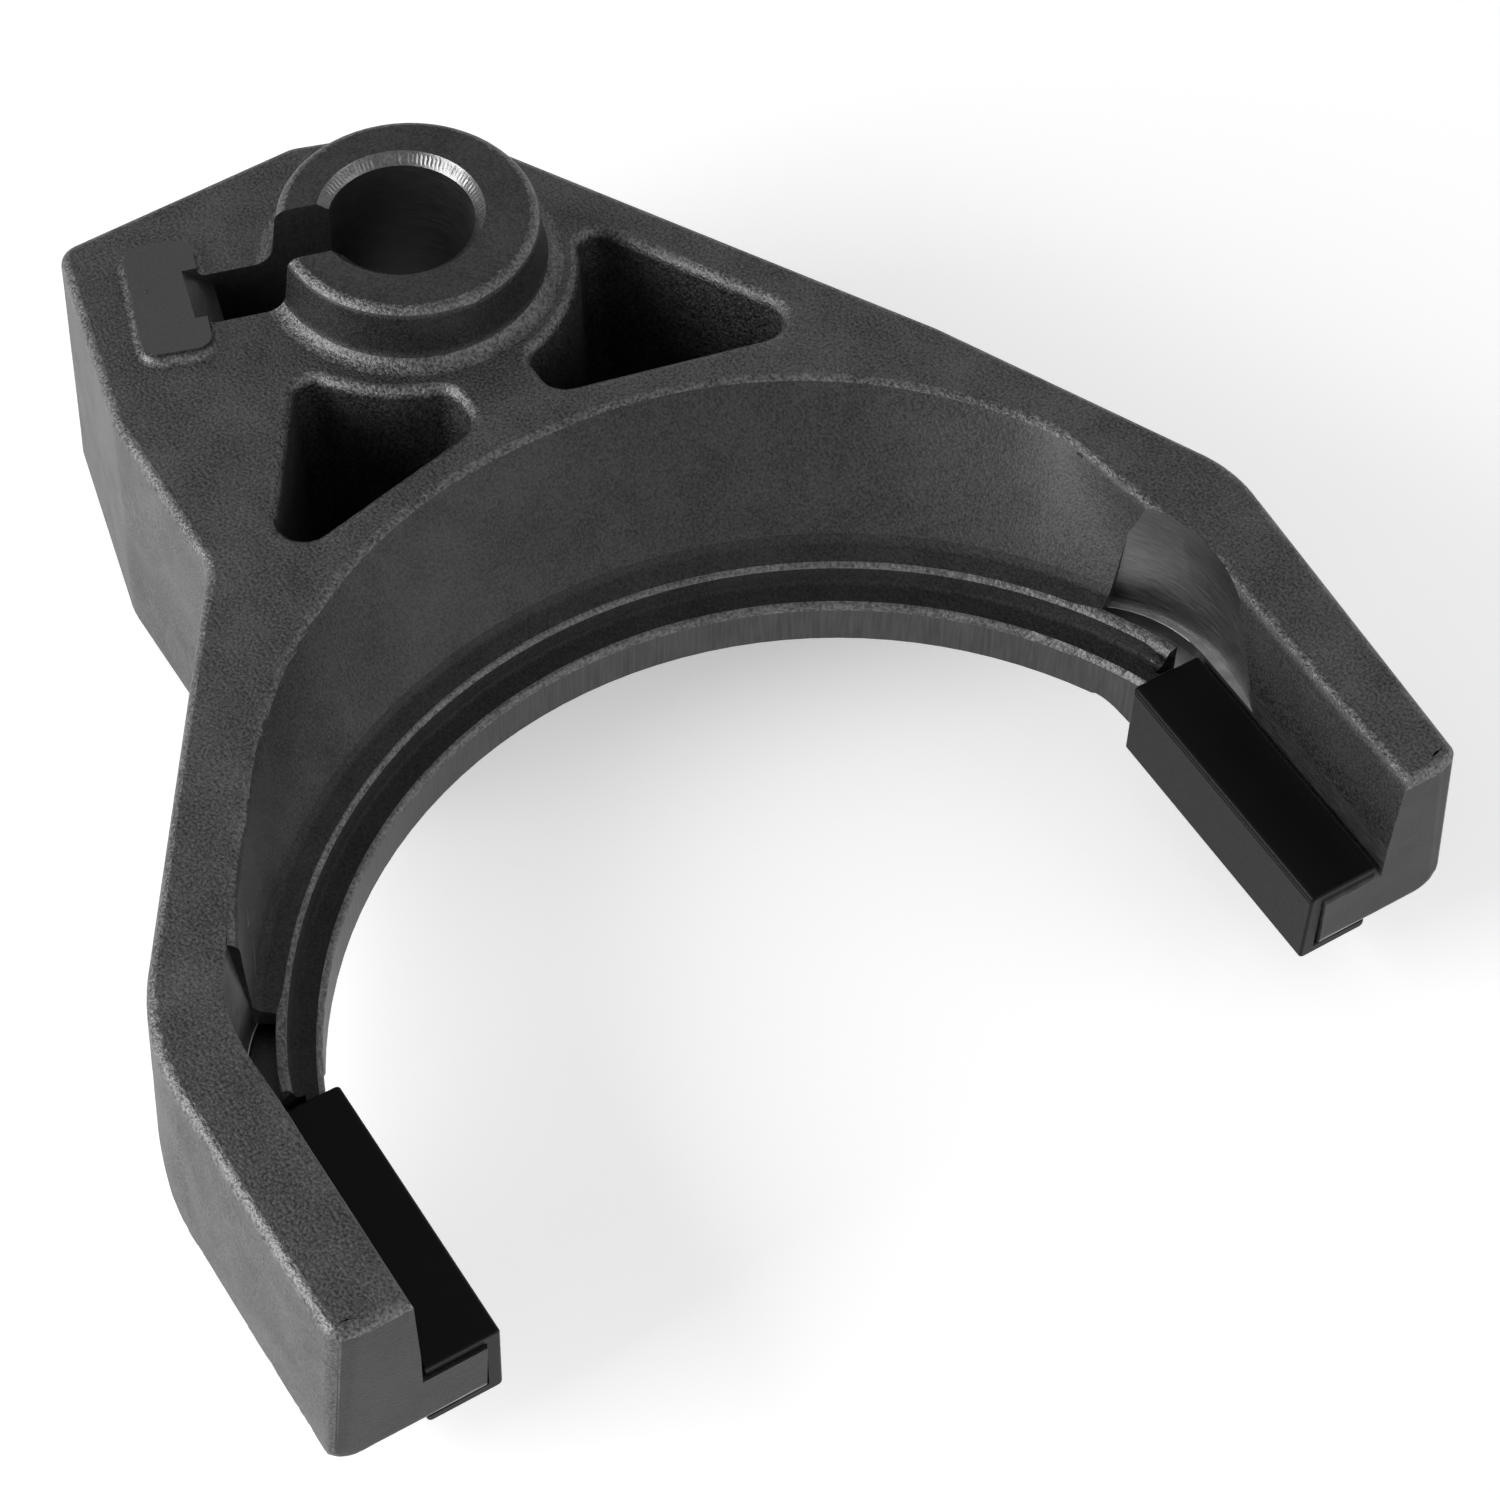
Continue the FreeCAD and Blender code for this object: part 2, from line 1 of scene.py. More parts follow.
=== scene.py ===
"""A cast iron shift fork with its clip-on wear pads, dressed and lit for a studio picture.

Lengths are in millimetres unless a comment says otherwise. The rail bore stands on the Z axis, the
arms point along +X, and the underside lies at z = 0.
"""

import logging
import math
from dataclasses import dataclass
from enum import Enum

import bmesh
import bpy
from mathutils import Matrix, Vector
from mathutils.bvhtree import BVHTree

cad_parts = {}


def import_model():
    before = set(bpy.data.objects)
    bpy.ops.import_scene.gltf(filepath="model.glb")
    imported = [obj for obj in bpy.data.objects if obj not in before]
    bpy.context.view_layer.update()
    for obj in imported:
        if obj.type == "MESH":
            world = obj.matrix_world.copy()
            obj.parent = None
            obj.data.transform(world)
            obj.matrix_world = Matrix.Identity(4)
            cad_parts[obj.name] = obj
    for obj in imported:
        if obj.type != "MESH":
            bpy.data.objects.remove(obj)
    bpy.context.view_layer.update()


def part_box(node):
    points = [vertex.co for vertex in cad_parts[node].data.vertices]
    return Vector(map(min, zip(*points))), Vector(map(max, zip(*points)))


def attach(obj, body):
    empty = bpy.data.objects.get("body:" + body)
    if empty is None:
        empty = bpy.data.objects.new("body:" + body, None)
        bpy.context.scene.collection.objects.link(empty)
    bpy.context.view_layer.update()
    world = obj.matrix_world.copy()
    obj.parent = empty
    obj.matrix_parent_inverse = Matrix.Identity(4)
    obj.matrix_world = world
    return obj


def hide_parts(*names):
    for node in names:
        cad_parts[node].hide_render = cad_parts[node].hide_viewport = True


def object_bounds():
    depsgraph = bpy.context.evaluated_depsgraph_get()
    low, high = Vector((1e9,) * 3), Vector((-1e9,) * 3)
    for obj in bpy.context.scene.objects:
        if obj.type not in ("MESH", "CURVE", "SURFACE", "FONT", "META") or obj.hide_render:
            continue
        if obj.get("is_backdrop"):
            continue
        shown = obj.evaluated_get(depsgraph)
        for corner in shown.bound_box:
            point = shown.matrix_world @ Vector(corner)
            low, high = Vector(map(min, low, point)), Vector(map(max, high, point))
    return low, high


LOG = logging.getLogger("shift_fork")
MM = 0.001

BLOCK_TOP = 52.0
HUB_TOP = 63.7
SEAT_TOP = 54.05
BORE_RADIUS = 12.5
CHAMFER_DEPTH = 1.8
SLOT_HALF = 5.5
SLOT_TURN = math.radians(15.2)
CRESCENT = (157.0, -8.2)
SWEEP_RADIUS = 82.8
WALL_REACH = 125.0
PAD_START = 125.95
TIP_END = 176.3

# How close a face's middle lies to the surface that it belongs to: fitted curves, then planes.
NEAR = 0.12
CLOSE = 0.05
# The Z of a normal: at least this on a level face, and between these on a rounded rim.
LEVEL = 0.95
RIM_SLOPES = (0.1, 0.985)
# The X of a normal on the tips' end faces.
FACES_OUT = 0.8

Socket = bpy.types.NodeSocket
Pair = tuple[float, float]
Triple = tuple[float, float, float]


class Skin(Enum):
    """The finishes that a face of the casting can have; several are tones of painted shade and
    painted highlight, noted on each.
    """

    CAST = 0
    BORED = 1
    CHAMFER = 2
    SEAT = 3
    SLOT = 4
    SWEEP = 5
    MILLED = 6
    # Painted shade: a darker tone on the crescent's inward walls and the hub's side.
    WALL = 7
    # Painted shade on the ledge and, darker, in the groove; a painted highlight on the ridges'
    # crests.
    LEDGE = 8
    GROOVE = 9
    CREST = 10
    # Painted highlight: a lighter tone on the rounded rims.
    RIM = 11
    END = 12
    # A machined floor's light tone, lifted further by painted light where the floor lies in shade.
    FLOOR = 13
    # Painted shade: a darker tone on the tips' end faces.
    TIP = 14


def within(value: float, span: Pair) -> bool:
    """Whether a value lies between the two ends of a span."""
    return span[0] < value < span[1]


class NodeTree:
    """A node tree, with short calls to add its nodes and feed them."""

    def __init__(self, tree: bpy.types.NodeTree) -> None:
        """Take up a tree.

        Args:
            tree: The tree that the calls work on.
        """
        self.tree = tree

    def feed(self, socket: Socket, value: object) -> None:
        """Link an input to an output, or give it a value.

        Args:
            socket: The input.
            value: The output, or the input's new value.
        """
        if isinstance(value, Socket):
            self.tree.links.new(value, socket)
        else:
            socket.default_value = value

    def fill(self, node: bpy.types.Node, **inputs: object) -> bpy.types.Node:
        """Feed several inputs of a node.

        Args:
            node: The node.
            inputs: What each input gets, by its name, with underscores for spaces.

        Returns:
            The node.
        """
        for name, value in inputs.items():
            self.feed(node.inputs[name.replace("_", " ")], value)
        return node

    def add(self, kind: str, **inputs: object) -> bpy.types.Node:
        """Add a node and feed its inputs.

        Args:
            kind: The node's type.
            inputs: What each input gets, by its name, with underscores for spaces.

        Returns:
            The node.
        """
        return self.fill(self.tree.nodes.new(kind), **inputs)

    def math(self, operation: str, *values: object) -> Socket:
        """Combine up to three values.

        Args:
            operation: The math node's operation.
            values: Sockets or numbers.

        Returns:
            The result.
        """
        node = self.add("ShaderNodeMath")
        node.operation = operation
        for socket, value in zip(node.inputs, values):
            self.feed(socket, value)
        return node.outputs["Value"]

    def product(self, *values: object) -> Socket:
        """Multiply two values or more.

        Args:
            values: Sockets or numbers.

        Returns:
            The result.
        """
        result = values[0]
        for value in values[1:]:
            result = self.math("MULTIPLY", result, value)
        return result

    def scaled(self, vector: Socket, times: Socket) -> Socket:
        """Scale a vector or a colour.

        Args:
            vector: What is scaled.
            times: How many times larger it becomes.

        Returns:
            The result.
        """
        node = self.add("ShaderNodeVectorMath")
        node.operation = "SCALE"
        self.feed(node.inputs[0], vector)
        self.feed(node.inputs["Scale"], times)
        return node.outputs["Vector"]

    def spread(self, value: Socket, results: Pair, span: Pair = (0.3, 0.7)) -> Socket:
        """Map a value from one range to another.

        Args:
            value: What is mapped.
            results: The results at the two ends of the span.
            span: The range that the value comes from.

        Returns:
            The mapped value.
        """
        node = self.add("ShaderNodeMapRange", Value=value, From_Min=span[0], From_Max=span[1],
                        To_Min=results[0], To_Max=results[1])
        return node.outputs["Result"]


class Material(NodeTree):
    """A node material, with short calls for the patterns that the finishes share."""

    def __init__(self, name: str) -> None:
        """Start a material that has only its shader.

        Args:
            name: The material's name.
        """
        self.material = bpy.data.materials.new(name)
        self.material.use_nodes = True
        super().__init__(self.material.node_tree)
        self.tree.nodes.clear()
        self.shader = self.add("ShaderNodeBsdfPrincipled")
        self.add("ShaderNodeOutputMaterial", Surface=self.shader.outputs["BSDF"])
        self.place = self.add("ShaderNodeTexCoord").outputs["Object"]

    def noise(self, size: float, detail: float = 2.0, roughness: float = 0.5,
              stretch: Triple = (1.0, 1.0, 1.0)) -> Socket:
        """Add a noise whose cells are about the given size.

        Args:
            size: The cells' size.
            detail: How many finer layers it has.
            roughness: How strong they are.
            stretch: How far a cell is drawn out along X, Y and Z.

        Returns:
            The noise's value.
        """
        scale = [1.0 / (size * MM * times) for times in stretch]
        mapping = self.add("ShaderNodeMapping", Vector=self.place, Scale=scale)
        noise = self.add("ShaderNodeTexNoise", Vector=mapping.outputs["Vector"], Scale=1.0,
                         Detail=detail, Roughness=roughness)
        return noise.outputs["Fac"]

    def tint(self, value: Socket, dark: Triple, light: Triple) -> Socket:
        """Blend between two colours.

        Args:
            value: From 0, the first colour, to 1, the second.
            dark: The first colour.
            light: The second colour.

        Returns:
            The colour.
        """
        node = self.add("ShaderNodeMix", Factor=value)
        node.data_type = "RGBA"
        inputs = [socket for socket in node.inputs if socket.type == "RGBA"]
        for socket, color in zip(inputs, (dark, light)):
            socket.default_value = (*color, 1.0)
        return next(socket for socket in node.outputs if socket.type == "RGBA")

    def lighter_below(self, color: Socket, times: float, heights: Pair = (30.0, 48.0)) -> Socket:
        """Make a colour lighter towards the foot of a milled fan, as painted light where the foot
        lies in shade.

        Args:
            color: The colour.
            times: How many times lighter it is at the foot.
            heights: The heights of the foot and of where the change begins.

        Returns:
            The new colour.
        """
        height = self.add("ShaderNodeSeparateXYZ", Vector=self.place).outputs["Z"]
        span = (heights[0] * MM, heights[1] * MM)
        return self.scaled(color, self.spread(height, (times, 1.0), span))

    def bump(self, height: Socket, depth: float, under: Socket | None = None) -> Socket:
        """Add a bump, over another or over the plain surface.

        Args:
            height: The height, from 0 to 1.
            depth: The height's depth.
            under: The normal that it is laid on.

        Returns:
            The new normal.
        """
        node = self.add("ShaderNodeBump", Strength=1.0, Distance=depth * MM, Height=height)
        if under is not None:
            self.feed(node.inputs["Normal"], under)
        return node.outputs["Normal"]


@dataclass(frozen=True)
class IronFinish:
    """One of the casting's finishes; some carry painted shade, painted highlight and painted light.

    Attributes:
        name: The material's name.
        tones: Its darkest and lightest grey.
        roughness: Its roughness in the grain's hollows and on its tops.
        grain: The grain's size and depth.
        lumps: The size and depth of any lumps under the grain.
        stretch: How far the grain is drawn out along X, Y and Z.
        foot_painted_light: How many times lighter a face's foot is, as painted light against its
            shade.
        patch: The size of the faint patches.
        patch_share: Their share in the tone. The rest is the grain's.
        contrast: The noise that is darkest, and the noise that is lightest.
        cool: How much stronger blue is in the lightest grey.
    """

    name: str
    tones: Pair
    roughness: Pair
    grain: Pair
    lumps: Pair | None = None
    stretch: Triple = (1.0, 1.0, 1.0)
    foot_painted_light: float = 1.0
    patch: float = 9.0
    patch_share: float = 0.25
    contrast: Pair = (0.36, 0.64)
    cool: float = 1.015

    def build(self) -> bpy.types.Material:
        """Make the material.

        Returns:
            The finished material.
        """
        made = Material(self.name)
        patches = made.noise(self.patch, 3.0, 0.6)
        grain = made.noise(self.grain[0], 3.0, 0.55, self.stretch)
        tone = made.math("ADD", made.product(patches, self.patch_share),
                         made.product(grain, 1.0 - self.patch_share))
        dark, light = self.tones
        color = made.tint(made.spread(tone, (0.0, 1.0), self.contrast), (dark, dark, dark),
                          (light, light, self.cool * light))
        # Painted light: the face is made lighter towards its foot.
        if self.foot_painted_light != 1.0:
            color = made.lighter_below(color, self.foot_painted_light)
        normal = made.bump(grain, self.grain[1])
        if self.lumps is not None:
            normal = made.bump(made.noise(self.lumps[0]), self.lumps[1], normal)
        made.fill(made.shader, Base_Color=color, Roughness=made.spread(grain, self.roughness),
                  Metallic=1.0, Normal=normal)
        return made.material


@dataclass(frozen=True)
class PadFinish:
    """Black moulded plastic, with fields like those of an iron finish.

    Attributes:
        color: The darkest grey.
        lighter: How many times lighter the lightest grey is.
        sheen: How strongly the surface mirrors.
    """

    name: str = "moulded_black"
    color: float = 0.003
    lighter: float = 1.5
    roughness: Pair = (0.3, 0.4)
    sheen: float = 0.12
    grain: Pair = (0.4, 0.012)
    patch: float = 9.0

    def build(self) -> bpy.types.Material:
        """Make the material.

        Returns:
            The finished material.
        """
        made = Material(self.name)
        grain = made.noise(self.grain[0])
        color = made.tint(made.noise(self.patch), (self.color,) * 3,
                          (self.lighter * self.color,) * 3)
        made.fill(made.shader, Base_Color=color, Roughness=made.spread(grain, self.roughness),
                  Normal=made.bump(grain, self.grain[1]), Specular_IOR_Level=self.sheen)
        return made.material


IRON = {
    Skin.CAST: IronFinish("cast_skin", (0.055, 0.19), (0.42, 0.62), (0.5, 0.22), (2.4, 0.05)),
    # Painted shade: darker than the cast skin, for the crescent's inward walls and the hub's side.
    Skin.WALL: IronFinish("cast_wall_painted_shade", (0.042, 0.096), (0.46, 0.6), (0.45, 0.10), (3.0, 0.02)),
    # Painted shade on the ledge and, darker, in the groove; a lighter crest tone as a painted
    # highlight.
    Skin.LEDGE: IronFinish("cast_ledge_painted_shade", (0.034, 0.07), (0.5, 0.64), (0.5, 0.12), (1.8, 0.08)),
    Skin.GROOVE: IronFinish("cast_groove_painted_shade", (0.022, 0.046), (0.5, 0.64), (0.5, 0.12), (1.8, 0.08)),
    Skin.CREST: IronFinish("cast_crest_painted_highlight", (0.07, 0.21), (0.42, 0.56), (0.55, 0.16), (1.8, 0.10)),
    # Painted highlight: lighter than the cast skin, on the rounded rims.
    Skin.RIM: IronFinish("cast_rim_painted_highlight", (0.06, 0.24), (0.42, 0.58), (0.55, 0.24), (2.0, 0.10)),
    Skin.END: IronFinish("cast_end", (0.055, 0.115), (0.44, 0.6), (0.45, 0.12), (2.6, 0.03)),
    # Painted shade: darker than the cast skin, on the tips' end faces.
    Skin.TIP: IronFinish("cast_tip_painted_shade", (0.04, 0.085), (0.44, 0.6), (0.45, 0.12), (2.6, 0.03)),
    Skin.BORED: IronFinish("bored_wall", (0.12, 0.16), (0.4, 0.52), (0.5, 0.02),
                           stretch=(8.0, 8.0, 0.6)),
    Skin.CHAMFER: IronFinish("chamfer_cut", (0.15, 0.23), (0.26, 0.38), (0.5, 0.02)),
    Skin.SEAT: IronFinish("seat_face", (0.12, 0.145), (0.42, 0.52), (0.4, 0.02)),
    Skin.SLOT: IronFinish("slot_wall", (0.12, 0.15), (0.42, 0.54), (0.6, 0.03)),
    Skin.SWEEP: IronFinish("swept_face", (0.06, 0.10), (0.4, 0.52), (0.5, 0.06),
                           stretch=(1.0, 1.0, 18.0)),
    # The milled fan, with painted light making its foot lighter.
    Skin.MILLED: IronFinish("milled_face", (0.085, 0.12), (0.36, 0.46), (0.4, 0.03),
                            stretch=(9.0, 9.0, 1.0), foot_painted_light=2.4),
    # Machined floor, lighter than cast iron, with painted light added against its shade.
    Skin.FLOOR: IronFinish("milled_floor_painted_light", (0.46, 0.6), (0.36, 0.46), (0.4, 0.03),
                           stretch=(6.0, 6.0, 1.0)),
}


def fresh_object(name: str, mesh: bpy.types.Mesh) -> bpy.types.Object:
    """Put a mesh in the scene.

    Args:
        name: The object's name.
        mesh: Its mesh.

    Returns:
        The new object.
    """
    made = bpy.data.objects.new(name, mesh)
    bpy.context.scene.collection.objects.link(made)
    return made


def merged_copy(node: str, name: str) -> bpy.types.Object:
    """Copy a frame node's mesh and join its loose triangles.

    Args:
        node: The node's name.
        name: The copy's name.

    Returns:
        The new object.
    """
    mesh = bpy.data.objects[node].data.copy()
    mesh.materials.clear()
    mesh.name = name
    shape = bmesh.new()
    shape.from_mesh(mesh)
    bmesh.ops.remove_doubles(shape, verts=shape.verts, dist=0.002 * MM)
    bmesh.ops.dissolve_degenerate(shape, edges=shape.edges, dist=0.0001 * MM)
    shape.to_mesh(mesh)
    shape.free()
    return fresh_object(name, mesh)


def settle(piece: bpy.types.Object) -> None:
    """Turn a piece's modifiers into plain mesh.

    Args:
        piece: The piece.
    """
    evaluated = piece.evaluated_get(bpy.context.evaluated_depsgraph_get())
    finished = bpy.data.meshes.new_from_object(evaluated)
    piece.modifiers.clear()
    piece.data = finished


def smooth(piece: bpy.types.Object, angle: float) -> None:
    """Shade a piece smooth, with sharp edges where it bends hard and where two finishes meet.

    Args:
        piece: The piece.
        angle: The angle in degrees past which an edge is sharp.
    """
    shape = bmesh.new()
    shape.from_mesh(piece.data)
    for edge in shape.edges:
        faces = edge.link_faces
        meets = len(faces) == 2 and faces[0].material_index == faces[1].material_index
        edge.smooth = meets and edge.calc_face_angle(math.pi) < math.radians(angle)
    for face in shape.faces:
        face.smooth = True
    shape.to_mesh(piece.data)
    shape.free()
    weight = piece.modifiers.new("weight", "WEIGHTED_NORMAL")
    weight.keep_sharp = True
    weight.weight = 100
    settle(piece)


@dataclass(frozen=True)
class Mill:
    """What the mill cut in each arm: a leaning fan, the round floor below it and the pad's seat.

    Distances across run from the crescent's axis, so that they hold for both arms.

    Attributes:
        fan_centre: The fan's axis at the top, along and across.
        fan_radius: Its radius there.
        lean: How far along the axis lies at the fan's foot.
        widening: How much the radius has grown there.
        depth: The fan's depth.
        fan_floor: The height of its floor.
        fan_slope: The largest Z of a normal on it.
        start_turn: Where it starts, in radians about the crescent's axis.
        turn_slack: How near to that its first face lies, in radians.
        shelf: The height of the floor below the fan.
        corner: The axis of that floor's wall, along and across.
        corner_radius: That wall's radius.
        slack: How near to these lengths a face's middle lies.
        seat_along: The start and end of the pad's seat.
        seat_across: Its inner edge, and the outer edge of the lane beside the pad.
        seat_heights: Its heights.
    """

    fan_centre: Pair = (123.1, 60.4)
    fan_radius: float = 29.4
    lean: float = 7.2
    widening: float = 0.5
    depth: float = 22.0
    fan_floor: float = 30.0
    fan_slope: float = 0.3
    start_turn: float = math.radians(59.7)
    turn_slack: float = 0.002
    shelf: float = 27.2
    corner: Pair = (127.1, 65.9)
    corner_radius: float = 22.1
    slack: float = 0.1
    seat_along: Pair = (PAD_START - 0.03, TIP_END - 0.05)
    seat_across: Pair = (74.3, 88.06)
    seat_heights: Pair = (15.0, 34.9)

    def on_fan(self, at: Vector) -> bool:
        """Whether a point lies on the wall of one of the fans.

        Args:
            at: The point.

        Returns:
            True on the wall.
        """
        drop = (BLOCK_TOP - at.z) / self.depth
        along = at.x - self.fan_centre[0] - self.lean * drop
        across = abs(at.y - CRESCENT[1]) - self.fan_centre[1] + self.widening * drop
        off = math.hypot(along, across) - self.fan_radius - self.widening * drop
        return at.z > self.fan_floor - self.slack and abs(off) < NEAR

    def has_cut(self, at: Vector, normal: Vector) -> bool:
        """Whether a face of an arm was cut by the mill.

        Args:
            at: The face's middle.
            normal: Its normal.

        Returns:
            True for the fan, its floors, the lane beside the pad and the tongue.
        """
        across = abs(at.y - CRESCENT[1])
        turn = math.atan2(across, CRESCENT[0] - at.x)
        if self.on_fan(at) and abs(normal.z) < self.fan_slope:
            return True
        if abs(turn - self.start_turn) < self.turn_slack and abs(normal.z) < CLOSE:
            return True
        above = min(abs(at.z - self.shelf), abs(at.z - self.fan_floor))
        if normal.z > LEVEL and above < self.slack:
            return True
        off = math.hypot(at.x - self.corner[0], across - self.corner[1]) - self.corner_radius
        if abs(off) < self.slack and at.z < self.fan_floor + self.slack and abs(normal.z) < CLOSE:
            return True
        on_seat = within(at.x, self.seat_along) and within(across, self.seat_across)
        return on_seat and within(at.z, self.seat_heights)


@dataclass(frozen=True)
class SkinFinder:
    """Finds a face's finish from its place and the way it faces, painted shade and painted
    highlight tones among them.

    A reach is a distance from the crescent's axis, or on the block from the bore's. A slope is
    the Z of a normal.

    Attributes:
        mill: What the mill cut.
        block: The block's reach, and its end along X.
        bore_slope: The bore's largest slope.
        chamfer: How far its chamfer goes out and down.
        chamfer_slopes: The chamfer's slopes.
        slot_length: The key slot's end, from the bore's axis.
        ramp_start: Where its ramp starts.
        seat: The key seat's start and end along it.
        seat_slope: The seat's least slope.
        end_reach: The reach of the hub's end face.
        hub_side: The heights of the hub's side.
        hub_reach: The side's reach.
        hub_slope: The side's largest slope.
        block_rim: The lowest point of a rim on the block.
        arms: The arms' start along X.
        sweep_top: The swept face's upper edge.
        sweep_slope: Its largest slope.
        ledge_reach: The ledge's reach.
        ledge: Its heights.
        inner_crest: The reach of the inner ridge's crest.
        outer_crest: The inner and outer reach of the outer one's.
        crest_foot: The outer crest's lowest point.
        groove_reach: The reach of the groove between them.
        arm_rim: The lowest point of a rim on the arms.
        inner_rim: The slope and height below which the crescent's edge is wall.
        tip_depth: How far back the tips' end faces go.
        wall_foot: The lowest point of the crescent's wall.
        wall_slopes: The wall's slopes.
    """

    mill: Mill = Mill()
    block: Pair = (60.0, 42.0)
    bore_slope: float = 0.1
    chamfer: float = 2.0
    chamfer_slopes: Pair = (0.5, 0.9)
    slot_length: float = 37.4
    ramp_start: float = 31.5
    seat: Pair = (30.0, 50.0)
    seat_slope: float = 0.99
    end_reach: float = 24.0
    hub_side: Pair = (52.5, 62.6)
    hub_reach: float = 27.0
    hub_slope: float = 0.45
    block_rim: float = 49.95
    arms: float = 100.0
    sweep_top: float = 30.6
    sweep_slope: float = 0.2
    ledge_reach: float = 93.3
    ledge: Pair = (26.0, 34.9)
    inner_crest: float = 84.4
    outer_crest: Pair = (87.5, 89.5)
    crest_foot: float = 31.3
    groove_reach: float = 88.4
    arm_rim: float = 50.0
    inner_rim: Pair = (0.72, 51.2)
    tip_depth: float = 0.6
    wall_foot: float = 34.0
    wall_slopes: Pair = (-0.1, 0.9)

    def find(self, at: Vector, normal: Vector, low: float, high: float) -> Skin:
        """Choose the finish of a face, including the tones of painted shade and painted highlight.

        Args:
            at: The face's middle.
            normal: Its normal.
            low: Its lowest point's height.
            high: Its highest point's height.

        Returns:
            The finish.
        """
        bore = math.hypot(at.x, at.y)
        if bore < self.block[0] and at.x < self.block[1]:
            return self.on_block(at, normal, bore, low, high)
        reach = math.hypot(at.x - CRESCENT[0], at.y - CRESCENT[1])
        on_sweep = abs(reach - SWEEP_RADIUS) < NEAR and abs(normal.z) < self.sweep_slope
        if on_sweep and at.z < self.sweep_top:
            return Skin.SWEEP
        if at.x > self.arms and self.mill.has_cut(at, normal):
            if normal.z > LEVEL:
                # Level cuts on the +Y arm get the floor tone with painted light; on the -Y arm they
                # keep the darker swept tone.
                return Skin.FLOOR if at.y > CRESCENT[1] else Skin.SWEEP
            return Skin.MILLED
        # The ledge, groove and crests get tones of painted shade and painted highlight.
        if reach < self.ledge_reach and within(at.z, self.ledge) and at.x < PAD_START:
            return self.on_ledge(reach, at.z)
        inward = normal.x * (CRESCENT[0] - at.x) + normal.y * (CRESCENT[1] - at.y) > 0
        is_wall = inward and normal.z < self.inner_rim[0] and low < self.inner_rim[1]
        # Rounded rims get a lighter tone as a painted highlight.
        if low > self.arm_rim and within(normal.z, RIM_SLOPES) and not is_wall:
            return Skin.RIM
        # The tips' end faces get a darker tone of painted shade.
        if at.x > TIP_END - self.tip_depth and normal.x > FACES_OUT:
            return Skin.TIP
        # The crescent's inward walls get a darker tone of painted shade.
        on_wall = inward and reach < WALL_REACH and low > self.wall_foot
        if on_wall and within(normal.z, self.wall_slopes):
            return Skin.WALL
        return Skin.CAST

    def on_ledge(self, reach: float, height: float) -> Skin:
        """Choose the tone of a face of the ledge and its ridges: a painted highlight on the crests,
        painted shade on the ledge and darker painted shade in the groove.

        Args:
            reach: The face's distance from the crescent's axis.
            height: Its height.

        Returns:
            The finish.
        """
        on_outer = within(reach, self.outer_crest) and height > self.crest_foot
        if reach < self.inner_crest or on_outer:
            return Skin.CREST
        return Skin.GROOVE if reach < self.groove_reach else Skin.LEDGE

    def on_block(self, at: Vector, normal: Vector, bore: float, low: float, high: float) -> Skin:
        """Choose the finish of a face of the block or the hub, with painted shade on the hub's side
        and a painted highlight on its rims.

        Args:
            at: The face's middle.
            normal: Its normal.
            bore: Its distance from the bore's axis.
            low: Its lowest point's height.
            high: Its highest point's height.

        Returns:
            The finish.
        """
        inward = at.x * normal.x + at.y * normal.y < 0
        along = -math.sin(SLOT_TURN) * at.x - math.cos(SLOT_TURN) * at.y
        aside = abs(math.cos(SLOT_TURN) * at.x - math.sin(SLOT_TURN) * at.y)
        if bore < BORE_RADIUS + CLOSE and inward and abs(normal.z) < self.bore_slope:
            return Skin.BORED
        near_edge = bore < BORE_RADIUS + self.chamfer and at.z > HUB_TOP - self.chamfer
        if near_edge and inward and within(normal.z, self.chamfer_slopes):
            return Skin.CHAMFER
        in_slot = aside < SLOT_HALF + CLOSE and within(along, (0.0, self.slot_length))
        on_side = aside > SLOT_HALF - CLOSE or (along > self.ramp_start and at.z < SEAT_TOP)
        if in_slot and on_side and bore > BORE_RADIUS - CLOSE and normal.z < LEVEL:
            return Skin.SLOT
        if at.z > SEAT_TOP - CLOSE and within(along, self.seat) and normal.z > self.seat_slope:
            return Skin.SEAT
        if at.z > HUB_TOP - CLOSE and bore < self.end_reach:
            return Skin.END
        # The hub's side gets the wall's darker tone of painted shade.
        on_hub = bore < self.hub_reach and normal.z < self.hub_slope
        if on_hub and low > self.hub_side[0] and high < self.hub_side[1]:
            return Skin.WALL
        # Rounded rims on the block get the lighter tone of painted highlight too.
        return Skin.RIM if low > self.block_rim and within(normal.z, RIM_SLOPES) else Skin.CAST


